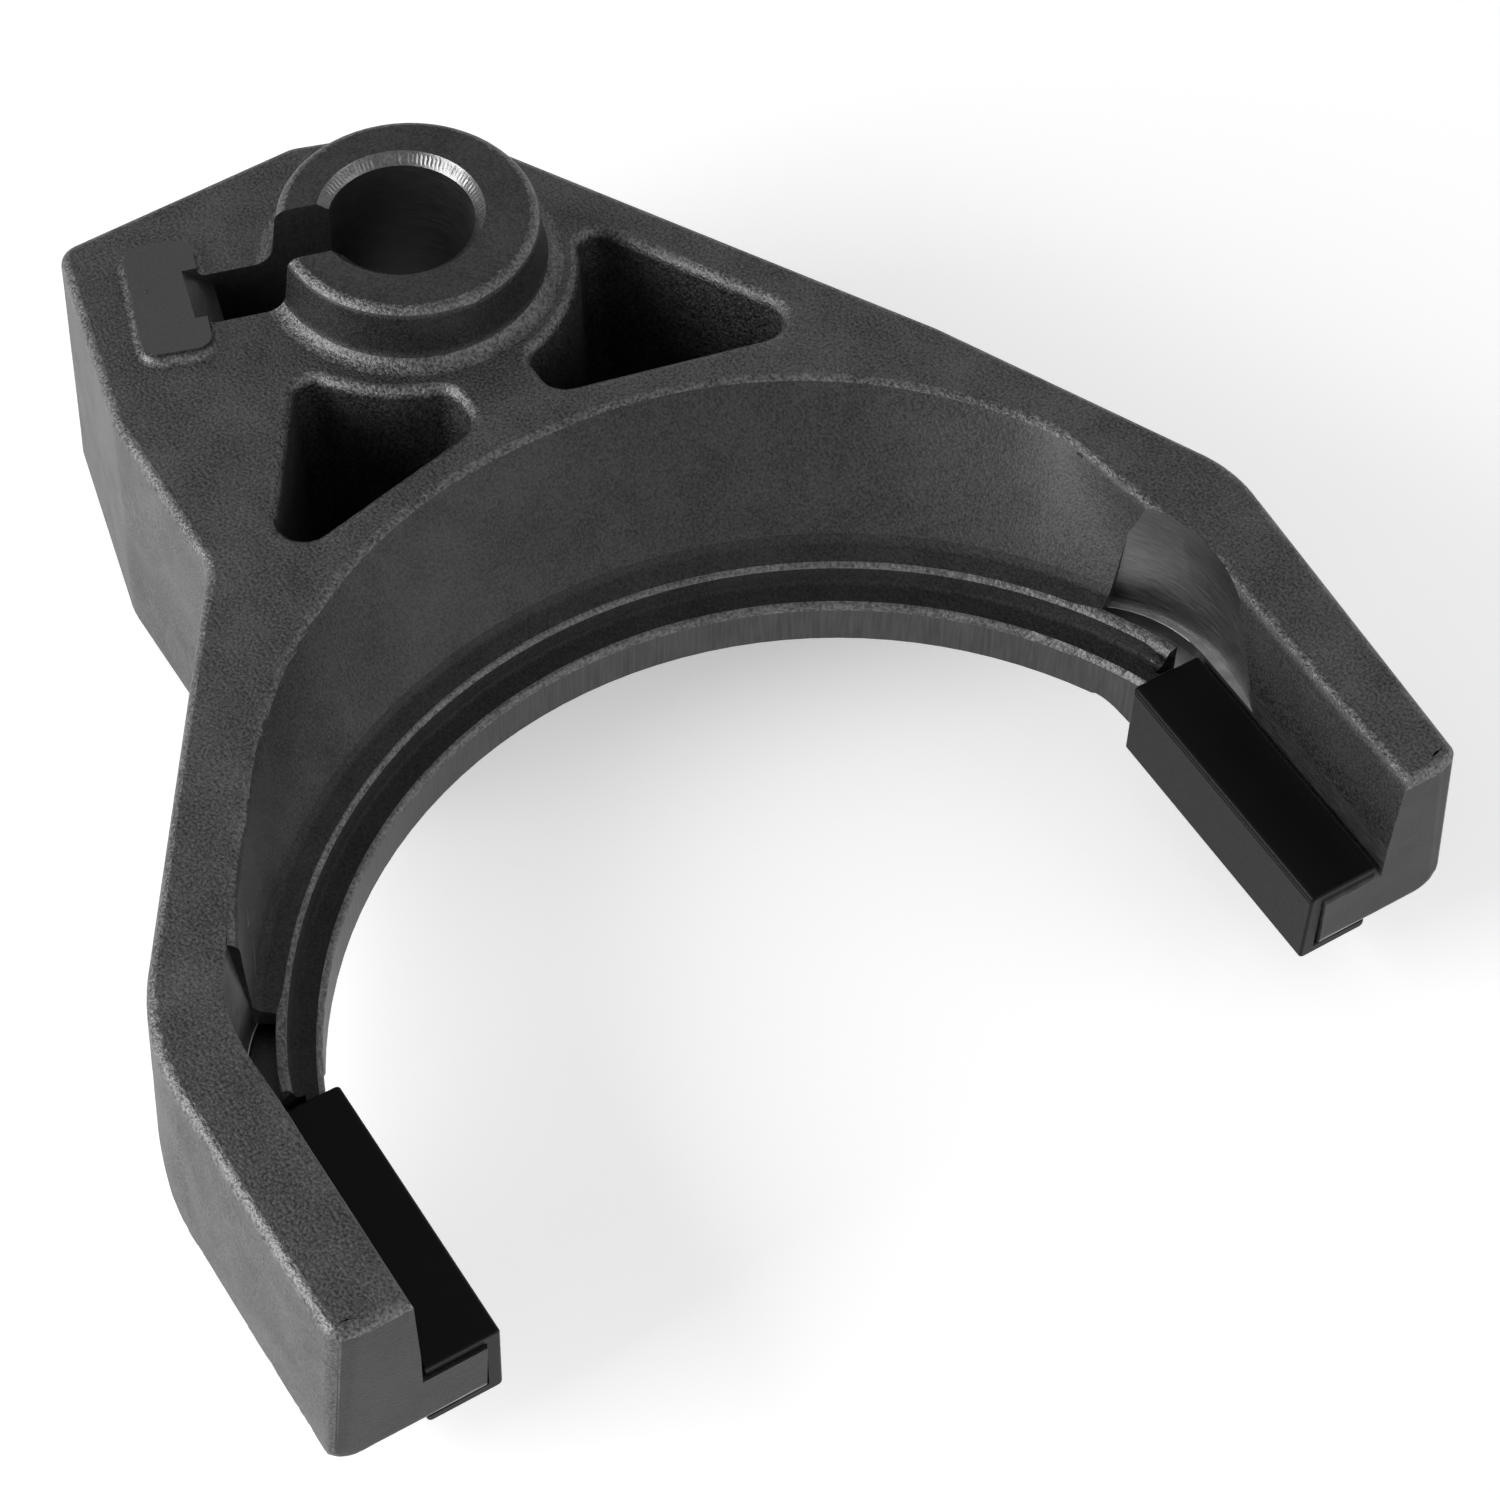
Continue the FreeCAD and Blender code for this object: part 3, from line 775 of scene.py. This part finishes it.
@dataclass
class Casting:
    """The cast body.

    Attributes:
        node: The node that it replaces.
        mill: What the mill cut.
        sharp: The angle in degrees past which an edge is sharp.
        feather: How far round the left fan's wall is brought in, in radians.
        fan_foot: The fan wall's reach at its floor.
        fan_lean: How much that grows with each millimetre of height.
        wall_foot: The cast wall's reach at its foot.
        wall_lean: How much that grows with each millimetre above the ledge.
        ledge_top: The height from which it grows.
        stand_out: How far the walls' top edge stands out, on the block and on the arms.
        arms: Where along X it stands out as far as on the arms.
        least_lean: The least level part of an outer face's normal.
        tips: From where along X the walls stand out only sideways.
        tip_ends: From where along X the tips' end faces lie.
    """

    node: str = "fork_body"
    mill: Mill = Mill()
    sharp: float = 32.0
    feather: float = math.radians(14.5)
    fan_foot: float = 94.22
    fan_lean: float = 0.2
    wall_foot: float = 93.45
    wall_lean: float = 0.14
    ledge_top: float = 34.8
    stand_out: Pair = (1.0, 1.9)
    arms: float = 45.0
    least_lean: float = 0.15
    tips: float = 165.0
    tip_ends: float = 170.0

    def build(self) -> bpy.types.Object:
        """Make the casting and give every face its finish, painted shade and painted highlight
        tones among them.

        Returns:
            The piece.
        """
        piece = merged_copy(self.node, "fork_casting")
        for skin in Skin:
            piece.data.materials.append(IRON[skin].build())
        finder = SkinFinder(self.mill)
        for face in piece.data.polygons:
            heights = [piece.data.vertices[v].co.z / MM for v in face.vertices]
            skin = finder.find(face.center / MM, face.normal, min(heights), max(heights))
            face.material_index = skin.value
        self.feather_left_fan(piece)
        self.stand_walls_up(piece)
        smooth(piece, self.sharp)
        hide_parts(self.node)
        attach(piece, "root")
        return piece

    def feather_left_fan(self, piece: bpy.types.Object) -> None:
        """Bring the left fan's wall in to the cast wall where the mill began.

        Args:
            piece: The casting.
        """
        for vertex in piece.data.vertices:
            at = vertex.co / MM
            turn = math.atan2(CRESCENT[1] - at.y, CRESCENT[0] - at.x)
            part = (turn - self.mill.start_turn) / self.feather
            if not (at.y < CRESCENT[1] and within(part, (-0.01, 1.0)) and self.mill.on_fan(at)):
                continue
            fan = self.fan_foot + self.fan_lean * (at.z - self.mill.fan_floor)
            wall = self.wall_foot + self.wall_lean * max(at.z - self.ledge_top, 0.0)
            inward = Vector((CRESCENT[0] - at.x, CRESCENT[1] - at.y, 0.0)).normalized()
            vertex.co += inward * (MM * (fan - wall) * (1.0 - max(part, 0.0)))

    def stand_walls_up(self, piece: bpy.types.Object) -> None:
        """Stand the top of the outer walls out, so that they rise as steeply as on the real fork.

        Args:
            piece: The casting.
        """
        shape = bmesh.new()
        shape.from_mesh(piece.data)
        low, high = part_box(self.node)
        for corner, move in self.outward_moves(shape).items():
            along = min(max(corner.co.x / MM / self.arms, 0.0), 1.0)
            out = self.stand_out[0] * (1.0 - along) + self.stand_out[1] * along
            place = corner.co + move.normalized() * (out * corner.co.z / BLOCK_TOP)
            on_tip = corner.co.x >= self.tips * MM
            corner.co.x = min(place.x, corner.co.x) if on_tip else max(place.x, low[0])
            corner.co.y = min(max(place.y, low[1]), high[1])
        shape.to_mesh(piece.data)
        shape.free()

    def outward_moves(self, shape: bmesh.types.BMesh) -> dict[bmesh.types.BMVert, Vector]:
        """Find which way each corner of the outer walls moves.

        Args:
            shape: The casting's mesh.

        Returns:
            The way outwards for each corner that moves.
        """
        tree = BVHTree.FromBMesh(shape)
        moves: dict[bmesh.types.BMVert, Vector] = {}
        for face in shape.faces:
            if self.is_outer(face, tree):
                out = Vector((face.normal.x, face.normal.y, 0.0)).normalized()
                for corner in face.verts:
                    moves[corner] = moves.get(corner, Vector()) + out * face.calc_area()
        for corner in shape.verts:
            near = [edge.other_vert(corner) for edge in corner.link_edges]
            moved = [moves[other] for other in near if other in moves]
            is_left_behind = corner not in moves and 2 * len(moved) > len(near)
            if is_left_behind and corner.co.x > self.tip_ends * MM:
                moves[corner] = sum(moved, Vector())
        return moves

    def is_outer(self, face: bmesh.types.BMFace, tree: BVHTree) -> bool:
        """Whether a face belongs to the outer walls or to the rim above them.

        Args:
            face: The face.
            tree: The casting's faces, to look for what lies in front of it.

        Returns:
            True where it does, but not on the tips' ends.
        """
        middle = face.calc_center_median()
        level = Vector((face.normal.x, face.normal.y, 0.0))
        centre = Vector((CRESCENT[0] * MM - middle.x, CRESCENT[1] * MM - middle.y, 0.0))
        if level.length < self.least_lean or middle.z > (BLOCK_TOP + 0.02) * MM:
            return False
        if centre.length < WALL_REACH * MM and centre.dot(level) > 0:
            return False
        if face.normal.x > FACES_OUT and middle.x > self.tip_ends * MM:
            return False
        level.normalize()
        return tree.ray_cast(middle + 0.1 * MM * level, level)[0] is None


@dataclass
class WearPads:
    """The two moulded pads on the tips.

    Attributes:
        nodes: The nodes that they replace.
        sharp: The angle in degrees past which an edge is sharp.
        line_height: Half the mould line's height.
        line_depth: Its depth.
        line_drop: How far it lies below the pad's top.
        overrun: How far its tool reaches past the pad.
    """

    nodes: tuple[str, str] = ("wear_pad_left", "wear_pad_right")
    sharp: float = 40.0
    line_height: float = 0.175
    line_depth: float = 0.2625
    line_drop: float = 1.25
    overrun: float = 1.0

    def build(self) -> list[bpy.types.Object]:
        """Make both pads.

        Returns:
            The pieces.
        """
        plastic = PadFinish().build()
        pieces = []
        for node in self.nodes:
            piece = merged_copy(node, node + "_moulding")
            self.cut_mould_line(piece, node)
            piece.data.materials.append(plastic)
            smooth(piece, self.sharp)
            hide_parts(node)
            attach(piece, "root")
            pieces.append(piece)
        return pieces

    def cut_mould_line(self, piece: bpy.types.Object, node: str) -> None:
        """Cut the thin mould line that runs under a pad's inner top edge.

        Args:
            piece: The pad.
            node: The node that it replaces.
        """
        low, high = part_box(node)
        inner = low[1] if node.endswith("right") else high[1]
        top = high[2] - self.line_drop * MM
        tall, deep = self.line_height * MM, self.line_depth * MM
        section = [(inner - deep, top), (inner, top - tall), (inner + deep, top),
                   (inner, top + tall)]
        ends = (low[0] - self.overrun * MM, high[0] + self.overrun * MM)
        points = [(x, y, z) for x in ends for y, z in section]
        sides = [(i, i + 4, (i + 1) % 4 + 4, (i + 1) % 4) for i in range(4)]
        mesh = bpy.data.meshes.new("mould_line_tool")
        mesh.from_pydata(points, [], [(0, 1, 2, 3), (7, 6, 5, 4)] + sides)
        shape = bmesh.new()
        shape.from_mesh(mesh)
        bmesh.ops.recalc_face_normals(shape, faces=shape.faces)
        shape.to_mesh(mesh)
        shape.free()
        tool = fresh_object("mould_line_tool", mesh)
        cut = piece.modifiers.new("cut", "BOOLEAN")
        cut.operation = "DIFFERENCE"
        cut.solver = "EXACT"
        cut.object = tool
        settle(piece)
        bpy.data.objects.remove(tool)


class Rule(NodeTree):
    """A Geometry Nodes rule that makes or repeats a shape."""

    def __init__(self, name: str) -> None:
        """Start an empty rule.

        Args:
            name: The rule's name.
        """
        super().__init__(bpy.data.node_groups.new(name, "GeometryNodeTree"))
        for way in ("INPUT", "OUTPUT"):
            self.tree.interface.new_socket("Geometry", in_out=way, socket_type="NodeSocketGeometry")
        self.values: dict[str, object] = {}
        self.inside = self.add("NodeGroupInput")
        self.result = self.add("NodeGroupOutput")

    def number(self, name: str, value: float) -> Socket:
        """Add a named input for a whole number or a length.

        Args:
            name: The input's name.
            value: What it is set to.

        Returns:
            The socket that carries it.
        """
        kind = "NodeSocketInt" if isinstance(value, int) else "NodeSocketFloat"
        socket = self.tree.interface.new_socket(name, in_out="INPUT", socket_type=kind)
        self.values[socket.identifier] = value
        return self.inside.outputs[name]

    def chance(self, kind: str, span: tuple[object, object], **inputs: object) -> Socket:
        """Draw a random value.

        Args:
            kind: FLOAT or FLOAT_VECTOR.
            span: The least and the largest value.
            inputs: What feeds the ID and the seed.

        Returns:
            The value.
        """
        node = self.add("FunctionNodeRandomValue")
        node.data_type = kind
        sort = "VECTOR" if kind == "FLOAT_VECTOR" else "VALUE"
        for socket, value in zip([s for s in node.inputs if s.type == sort], span):
            self.feed(socket, value)
        self.fill(node, **inputs)
        return next(s for s in node.outputs if s.type == sort)

    def run(self, piece: bpy.types.Object, shape: Socket, material: bpy.types.Material) -> None:
        """Finish the rule, run it on a piece and keep what it makes.

        Args:
            piece: The piece.
            shape: The rule's last geometry.
            material: What the shape is made of.
        """
        real = self.add("GeometryNodeRealizeInstances", Geometry=shape)
        dressed = self.add("GeometryNodeSetMaterial", Geometry=real.outputs["Geometry"],
                           Material=material)
        self.feed(self.result.inputs["Geometry"], dressed.outputs["Geometry"])
        modifier = piece.modifiers.new("rule", "NODES")
        modifier.node_group = self.tree
        for identifier, value in self.values.items():
            modifier[identifier] = value
        settle(piece)


@dataclass
class ChamferChatter:
    """The fine facets that the chamfering cutter left round the bore's hub end.

    Attributes:
        facets: How many there are.
        depth: How far the highest stands up.
        seed: The seed of their heights.
        rows: How many rows of points run round the chamfer.
        row_step: How much further out and up each row lies.
        first_row: How far out and up the first row lies.
        weakest: The lowest facet's share of that depth.
        rise: A facet's rise for each millimetre that it stands in.
        slot_gap: The gap beside the slot, in radians.
    """

    facets: int = 190
    depth: float = 0.07
    seed: int = 4
    rows: int = 4
    row_step: float = 0.56
    first_row: float = 0.04
    weakest: float = 0.25
    rise: float = 0.6
    slot_gap: float = 0.035

    def build(self) -> bpy.types.Object:
        """Make the facets on the chamfer, from one side of the slot to the other.

        Returns:
            The piece.
        """
        rule = Rule("chatter")
        count = rule.number("Facets", self.facets)
        depth = rule.number("Depth", self.depth)
        seed = rule.number("Seed", self.seed)
        half_gap = math.asin(SLOT_HALF / BORE_RADIUS) + self.slot_gap
        start = math.radians(270.0) - SLOT_TURN + half_gap
        sheet = rule.add("GeometryNodeMeshGrid", Size_X=1.0, Size_Y=1.0, Vertices_X=count,
                         Vertices_Y=self.rows)
        position = rule.add("GeometryNodeInputPosition").outputs["Position"]
        place = rule.add("ShaderNodeSeparateXYZ", Vector=position)
        step = rule.math("ADD", place.outputs["X"], 0.5)
        turn = rule.math("MULTIPLY_ADD", step, 2.0 * (math.pi - half_gap), start)
        up = rule.math("ADD", place.outputs["Y"], 0.5)
        row = rule.math("ROUND", rule.product(up, self.rows - 1.0))
        number = rule.math("ROUND", rule.product(step, count))
        drawn = rule.chance("FLOAT", (self.weakest, 1.0), ID=number, Seed=seed)
        inner = rule.product(rule.math("GREATER_THAN", row, 0.5),
                             rule.math("LESS_THAN", row, self.rows - 1.5))
        odd = rule.product(rule.math("MODULO", number, 2.0), rule.product(inner, drawn, depth))
        along = rule.math("MULTIPLY_ADD", row, self.row_step, self.first_row)
        radius = rule.math("SUBTRACT", rule.math("ADD", along, BORE_RADIUS), odd)
        height = rule.math("ADD", rule.math("ADD", along, HUB_TOP - CHAMFER_DEPTH),
                           rule.product(odd, self.rise))
        spot = rule.add("ShaderNodeCombineXYZ",
                        X=rule.product(radius, rule.math("COSINE", turn), MM),
                        Y=rule.product(radius, rule.math("SINE", turn), MM),
                        Z=rule.product(height, MM))
        moved = rule.add("GeometryNodeSetPosition", Geometry=sheet.outputs["Mesh"],
                         Position=spot.outputs["Vector"])
        turned = rule.add("GeometryNodeFlipFaces", Mesh=moved.outputs["Geometry"])
        piece = fresh_object("chamfer_chatter", bpy.data.meshes.new("chamfer_chatter"))
        rule.run(piece, turned.outputs["Mesh"], IRON[Skin.CHAMFER].build())
        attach(piece, "root")
        return piece


@dataclass
class FloorEdgeHighlights:
    """A thin ridge round each fan's lower floor, where the cutter's corner left its edge; its
    brightness is a painted highlight from the floor's painted-light tone.

    Attributes:
        mill: What the mill cut.
        sweep: Where the right ridge starts and how far it runs, in degrees.
        width: A ridge's width.
        sides: How many sides it has.
        points: How many points it has along it.
    """

    mill: Mill = Mill()
    sweep: Pair = (100.0, 40.0)
    width: float = 0.34
    sides: int = 6
    points: int = 64

    def build(self) -> bpy.types.Object:
        """Make both ridges, bright as a painted highlight.

        Returns:
            The piece.
        """
        rule = Rule("floor_edge_highlight_rule")
        radius = rule.number("Radius", self.mill.corner_radius)
        width = rule.number("Width", self.width)
        ring = rule.add("GeometryNodeCurvePrimitiveCircle", Resolution=self.sides,
                        Radius=rule.product(width, 0.5 * MM))
        joined = rule.add("GeometryNodeJoinGeometry")
        start, length = self.sweep
        for side, first in ((-1.0, -start - length), (1.0, start)):
            arc = rule.add("GeometryNodeCurveArc", Resolution=self.points,
                           Radius=rule.product(radius, MM), Start_Angle=math.radians(first),
                           Sweep_Angle=math.radians(length))
            across = CRESCENT[1] + side * self.mill.corner[1]
            place = (self.mill.corner[0] * MM, across * MM, self.mill.fan_floor * MM)
            moved = rule.add("GeometryNodeTransform", Geometry=arc.outputs["Curve"],
                             Translation=place)
            tube = rule.add("GeometryNodeCurveToMesh", Curve=moved.outputs["Geometry"],
                            Profile_Curve=ring.outputs["Curve"], Fill_Caps=True)
            rule.feed(joined.inputs["Geometry"], tube.outputs["Mesh"])
        piece = fresh_object("mill_burrs", bpy.data.meshes.new("mill_burrs"))
        # The ridges take the floor's painted-light tone, a painted highlight on the cutter's edge.
        rule.run(piece, joined.outputs["Geometry"], IRON[Skin.FLOOR].build())
        piece.data.shade_smooth()
        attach(piece, "root")
        return piece


@dataclass
class Specks:
    """The little lumps of flash and scale that stand on the casting.

    Attributes:
        spots: Each lump's place and half its width.
        flatten: A lump's height, as a share of its width.
        seed: The seed of their shapes and turns.
        finest: How often a lump's ball is divided.
        bumps: How many bumps it has across its radius.
        swell: How much they add to its least radius.
        least: That radius, as a share of the lump's own.
        tilt: How far a lump may tip over, in radians.
    """

    spots: tuple[tuple[float, float, float, float], ...] = (
        (49.0, -62.0, 51.2, 0.9), (49.6, -60.6, 51.8, 0.6), (48.3, -63.0, 50.3, 0.7),
        (56.2, -45.9, 51.2, 0.9), (57.1, -47.0, 50.8, 0.6), (68.9, -27.0, 31.6, 0.7),
        (-14.0, -41.5, 54.05, 0.35), (124.0, 71.8, 31.2, 1.0), (128.1, 83.0, 50.0, 0.55),
        (94.1, 75.1, 50.9, 0.6),
    )
    flatten: float = 0.45
    seed: int = 7
    finest: int = 3
    bumps: float = 1.6
    swell: float = 0.9
    least: float = 0.5
    tilt: float = 0.3

    def build(self) -> bpy.types.Object:
        """Make all the lumps as one piece.

        Returns:
            The piece.
        """
        mesh = bpy.data.meshes.new("casting_specks")
        mesh.from_pydata([tuple(v * MM for v in spot[:3]) for spot in self.spots], [], [])
        sizes = mesh.attributes.new("size", "FLOAT", "POINT")
        sizes.data.foreach_set("value", [spot[3] * MM for spot in self.spots])
        piece = fresh_object("casting_specks", mesh)
        rule = Rule("specks")
        flatten = rule.number("Flatten", self.flatten)
        seed = rule.number("Seed", self.seed)
        size = rule.add("GeometryNodeInputNamedAttribute", Name="size")
        size.data_type = "FLOAT"
        width = next(socket for socket in size.outputs if socket.type == "VALUE")
        scale = rule.add("ShaderNodeCombineXYZ", X=width, Y=width, Z=rule.product(width, flatten))
        turn = rule.chance("FLOAT_VECTOR", ((0.0, 0.0, 0.0), (self.tilt, self.tilt, 2.0 * math.pi)),
                           Seed=seed)
        placed = rule.add("GeometryNodeInstanceOnPoints", Points=rule.inside.outputs["Geometry"],
                          Instance=self.lump(rule, seed), Rotation=turn,
                          Scale=scale.outputs["Vector"])
        rule.run(piece, placed.outputs["Instances"], IRON[Skin.CAST].build())
        piece.data.shade_smooth()
        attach(piece, "root")
        return piece

    def lump(self, rule: Rule, seed: Socket) -> Socket:
        """Make the uneven ball that every lump is.

        Args:
            rule: The rule that it is part of.
            seed: The rule's seed.

        Returns:
            The ball's geometry.
        """
        ball = rule.add("GeometryNodeMeshIcoSphere", Radius=1.0, Subdivisions=self.finest)
        where = rule.add("GeometryNodeInputPosition").outputs["Position"]
        shifted = rule.add("ShaderNodeVectorMath")
        rule.feed(shifted.inputs[0], where)
        rule.feed(shifted.inputs[1], seed)
        noise = rule.add("ShaderNodeTexNoise", Vector=shifted.outputs["Vector"], Scale=self.bumps,
                         Detail=2.0)
        times = rule.math("MULTIPLY_ADD", noise.outputs[0], self.swell, self.least)
        shaped = rule.add("GeometryNodeSetPosition", Geometry=ball.outputs["Mesh"],
                          Position=rule.scaled(where, times))
        return shaped.outputs["Geometry"]


@dataclass(frozen=True)
class Lamp:
    """A soft lamp, with its place, width and height in metres and its power in watts."""

    name: str
    place: Triple
    size: Pair
    power: float

    def build(self, aim: Triple) -> None:
        """Hang the lamp.

        Args:
            aim: The point that it faces, in metres.
        """
        data = bpy.data.lights.new(self.name, "AREA")
        data.shape = "RECTANGLE"
        data.size, data.size_y = self.size
        data.energy = self.power
        lamp = bpy.data.objects.new(self.name, data)
        lamp.location = self.place
        way = Vector(aim) - Vector(self.place)
        lamp.rotation_euler = way.to_track_quat("-Z", "Y").to_euler()
        bpy.context.scene.collection.objects.link(lamp)


@dataclass
class Studio:
    """The floor, the lamps and the world.

    Attributes:
        floor_size: The floor's width in metres.
        floor_drop: How far it lies under the object.
        floor_glow: How much brighter camera and mirror rays see it.
        sky: The world's strength at the horizon and overhead.
        sky_height: The rise of a ray from which it is overhead.
        aim: The point that the lamps face, in metres.
    """

    floor_size: float = 6.0
    floor_drop: float = 0.02
    floor_color: float = 0.9
    floor_roughness: float = 0.8
    floor_glow: float = 0.40
    sky: Pair = (0.75, 0.42)
    sky_height: float = 0.5
    aim: Triple = (0.07, 0.0, 0.03)
    lamps: tuple[Lamp, ...] = (
        Lamp("left", (-0.05, -0.76, 0.38), (0.6, 0.46), 6.3),
        Lamp("right", (1.0, 0.7, 0.53), (0.8, 0.6), 2.5),
    )

    def build(self) -> None:
        """Make everything that lights the object."""
        self.floor()
        self.world()
        for lamp in self.lamps:
            lamp.build(self.aim)

    def floor(self) -> None:
        """Lay the pale floor, which camera and mirror rays see a little brighter."""
        mesh = bpy.data.meshes.new("floor")
        half = self.floor_size / 2
        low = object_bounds()[0][2] - self.floor_drop * MM
        corners = [(-half, -half, low), (half, -half, low), (half, half, low), (-half, half, low)]
        mesh.from_pydata(corners, [], [(0, 1, 2, 3)])
        floor = fresh_object("floor", mesh)
        made = Material("pale_floor")
        rays = made.add("ShaderNodeLightPath").outputs
        seen = made.math("MAXIMUM", rays["Is Camera Ray"], rays["Is Glossy Ray"])
        seen = made.math("MAXIMUM", seen, rays["Is Transmission Ray"])
        made.fill(made.shader, Base_Color=(self.floor_color,) * 3 + (1.0,),
                  Roughness=self.floor_roughness, Specular_IOR_Level=0.0,
                  Emission_Color=(1.0, 1.0, 1.0, 1.0),
                  Emission_Strength=made.product(seen, self.floor_glow))
        mesh.materials.append(made.material)
        floor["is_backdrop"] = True

    def world(self) -> None:
        """Light the room with a soft sky that is darker overhead."""
        world = bpy.data.worlds.new("room")
        bpy.context.scene.world = world
        world.use_nodes = True
        room = NodeTree(world.node_tree)
        room.tree.nodes.clear()
        ray = room.add("ShaderNodeTexCoord").outputs["Generated"]
        height = room.add("ShaderNodeSeparateXYZ", Vector=ray).outputs["Z"]
        light = room.add("ShaderNodeBackground", Color=(1.0, 1.0, 1.0, 1.0),
                         Strength=room.spread(height, self.sky, (0.0, self.sky_height)))
        room.add("ShaderNodeOutputWorld", Surface=light.outputs["Background"])


@dataclass
class PhotoCamera:
    """The camera that took the photograph, solved from the fork's own features.

    Lengths that end in px are in the photograph's pixels, and angles are in degrees.

    Attributes:
        picture_px: The photograph's width.
        azimuth: How far the camera has turned from +X towards -Y.
        distance: How far it is from the crescent's middle, along its view.
        crescent: That middle, at the arms' top.
    """

    picture_px: float = 1500.0
    focal_px: float = 4288.41
    elevation: float = 53.675
    azimuth: float = 33.724
    roll: float = 2.296
    distance: float = 649.08
    crescent: Triple = (157.06, -8.22, BLOCK_TOP)
    crescent_px: Pair = (862.56, 939.38)
    sensor: float = 36.0
    clip_start: float = 10.0

    def build(self) -> None:
        """Place the camera."""
        lift, turn, roll = (math.radians(a) for a in (self.elevation, self.azimuth, self.roll))
        level = Vector((math.cos(turn), -math.sin(turn), 0.0))
        right = Vector((math.sin(turn), math.cos(turn), 0.0))
        back = level * math.cos(lift) + Vector((0.0, 0.0, math.sin(lift)))
        up = back.cross(right)
        turned_right = right * math.cos(roll) + up * math.sin(roll)
        turned_up = up * math.cos(roll) - right * math.sin(roll)
        centre = self.picture_px / 2
        offset_x = (self.crescent_px[0] - centre) / self.focal_px * self.distance
        offset_y = (self.crescent_px[1] - centre) / self.focal_px * self.distance
        place = Vector(self.crescent) - turned_right * offset_x + turned_up * offset_y
        place += back * self.distance
        data = bpy.data.cameras.new("camera")
        data.sensor_width = self.sensor
        data.lens = self.sensor * self.focal_px / self.picture_px
        data.clip_start = self.clip_start * MM
        camera = bpy.data.objects.new("camera", data)
        axes = Matrix((turned_right, turned_up, back)).transposed().to_4x4()
        camera.matrix_world = Matrix.Translation(place * MM) @ axes
        bpy.context.scene.collection.objects.link(camera)
        bpy.context.scene.camera = camera


def main() -> None:
    """Build the pieces, the studio and the camera, and log how many faces each piece has."""
    logging.basicConfig(level=logging.INFO, format="%(name)s: %(message)s")
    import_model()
    bpy.context.scene.view_settings.view_transform = "Standard"
    for piece in (Casting().build(), *WearPads().build(), ChamferChatter().build(),
                  FloorEdgeHighlights().build(), Specks().build()):
        LOG.info("%s has %d faces", piece.name, len(piece.data.polygons))
    Studio().build()
    PhotoCamera().build()


if __name__ == "__main__":
    main()
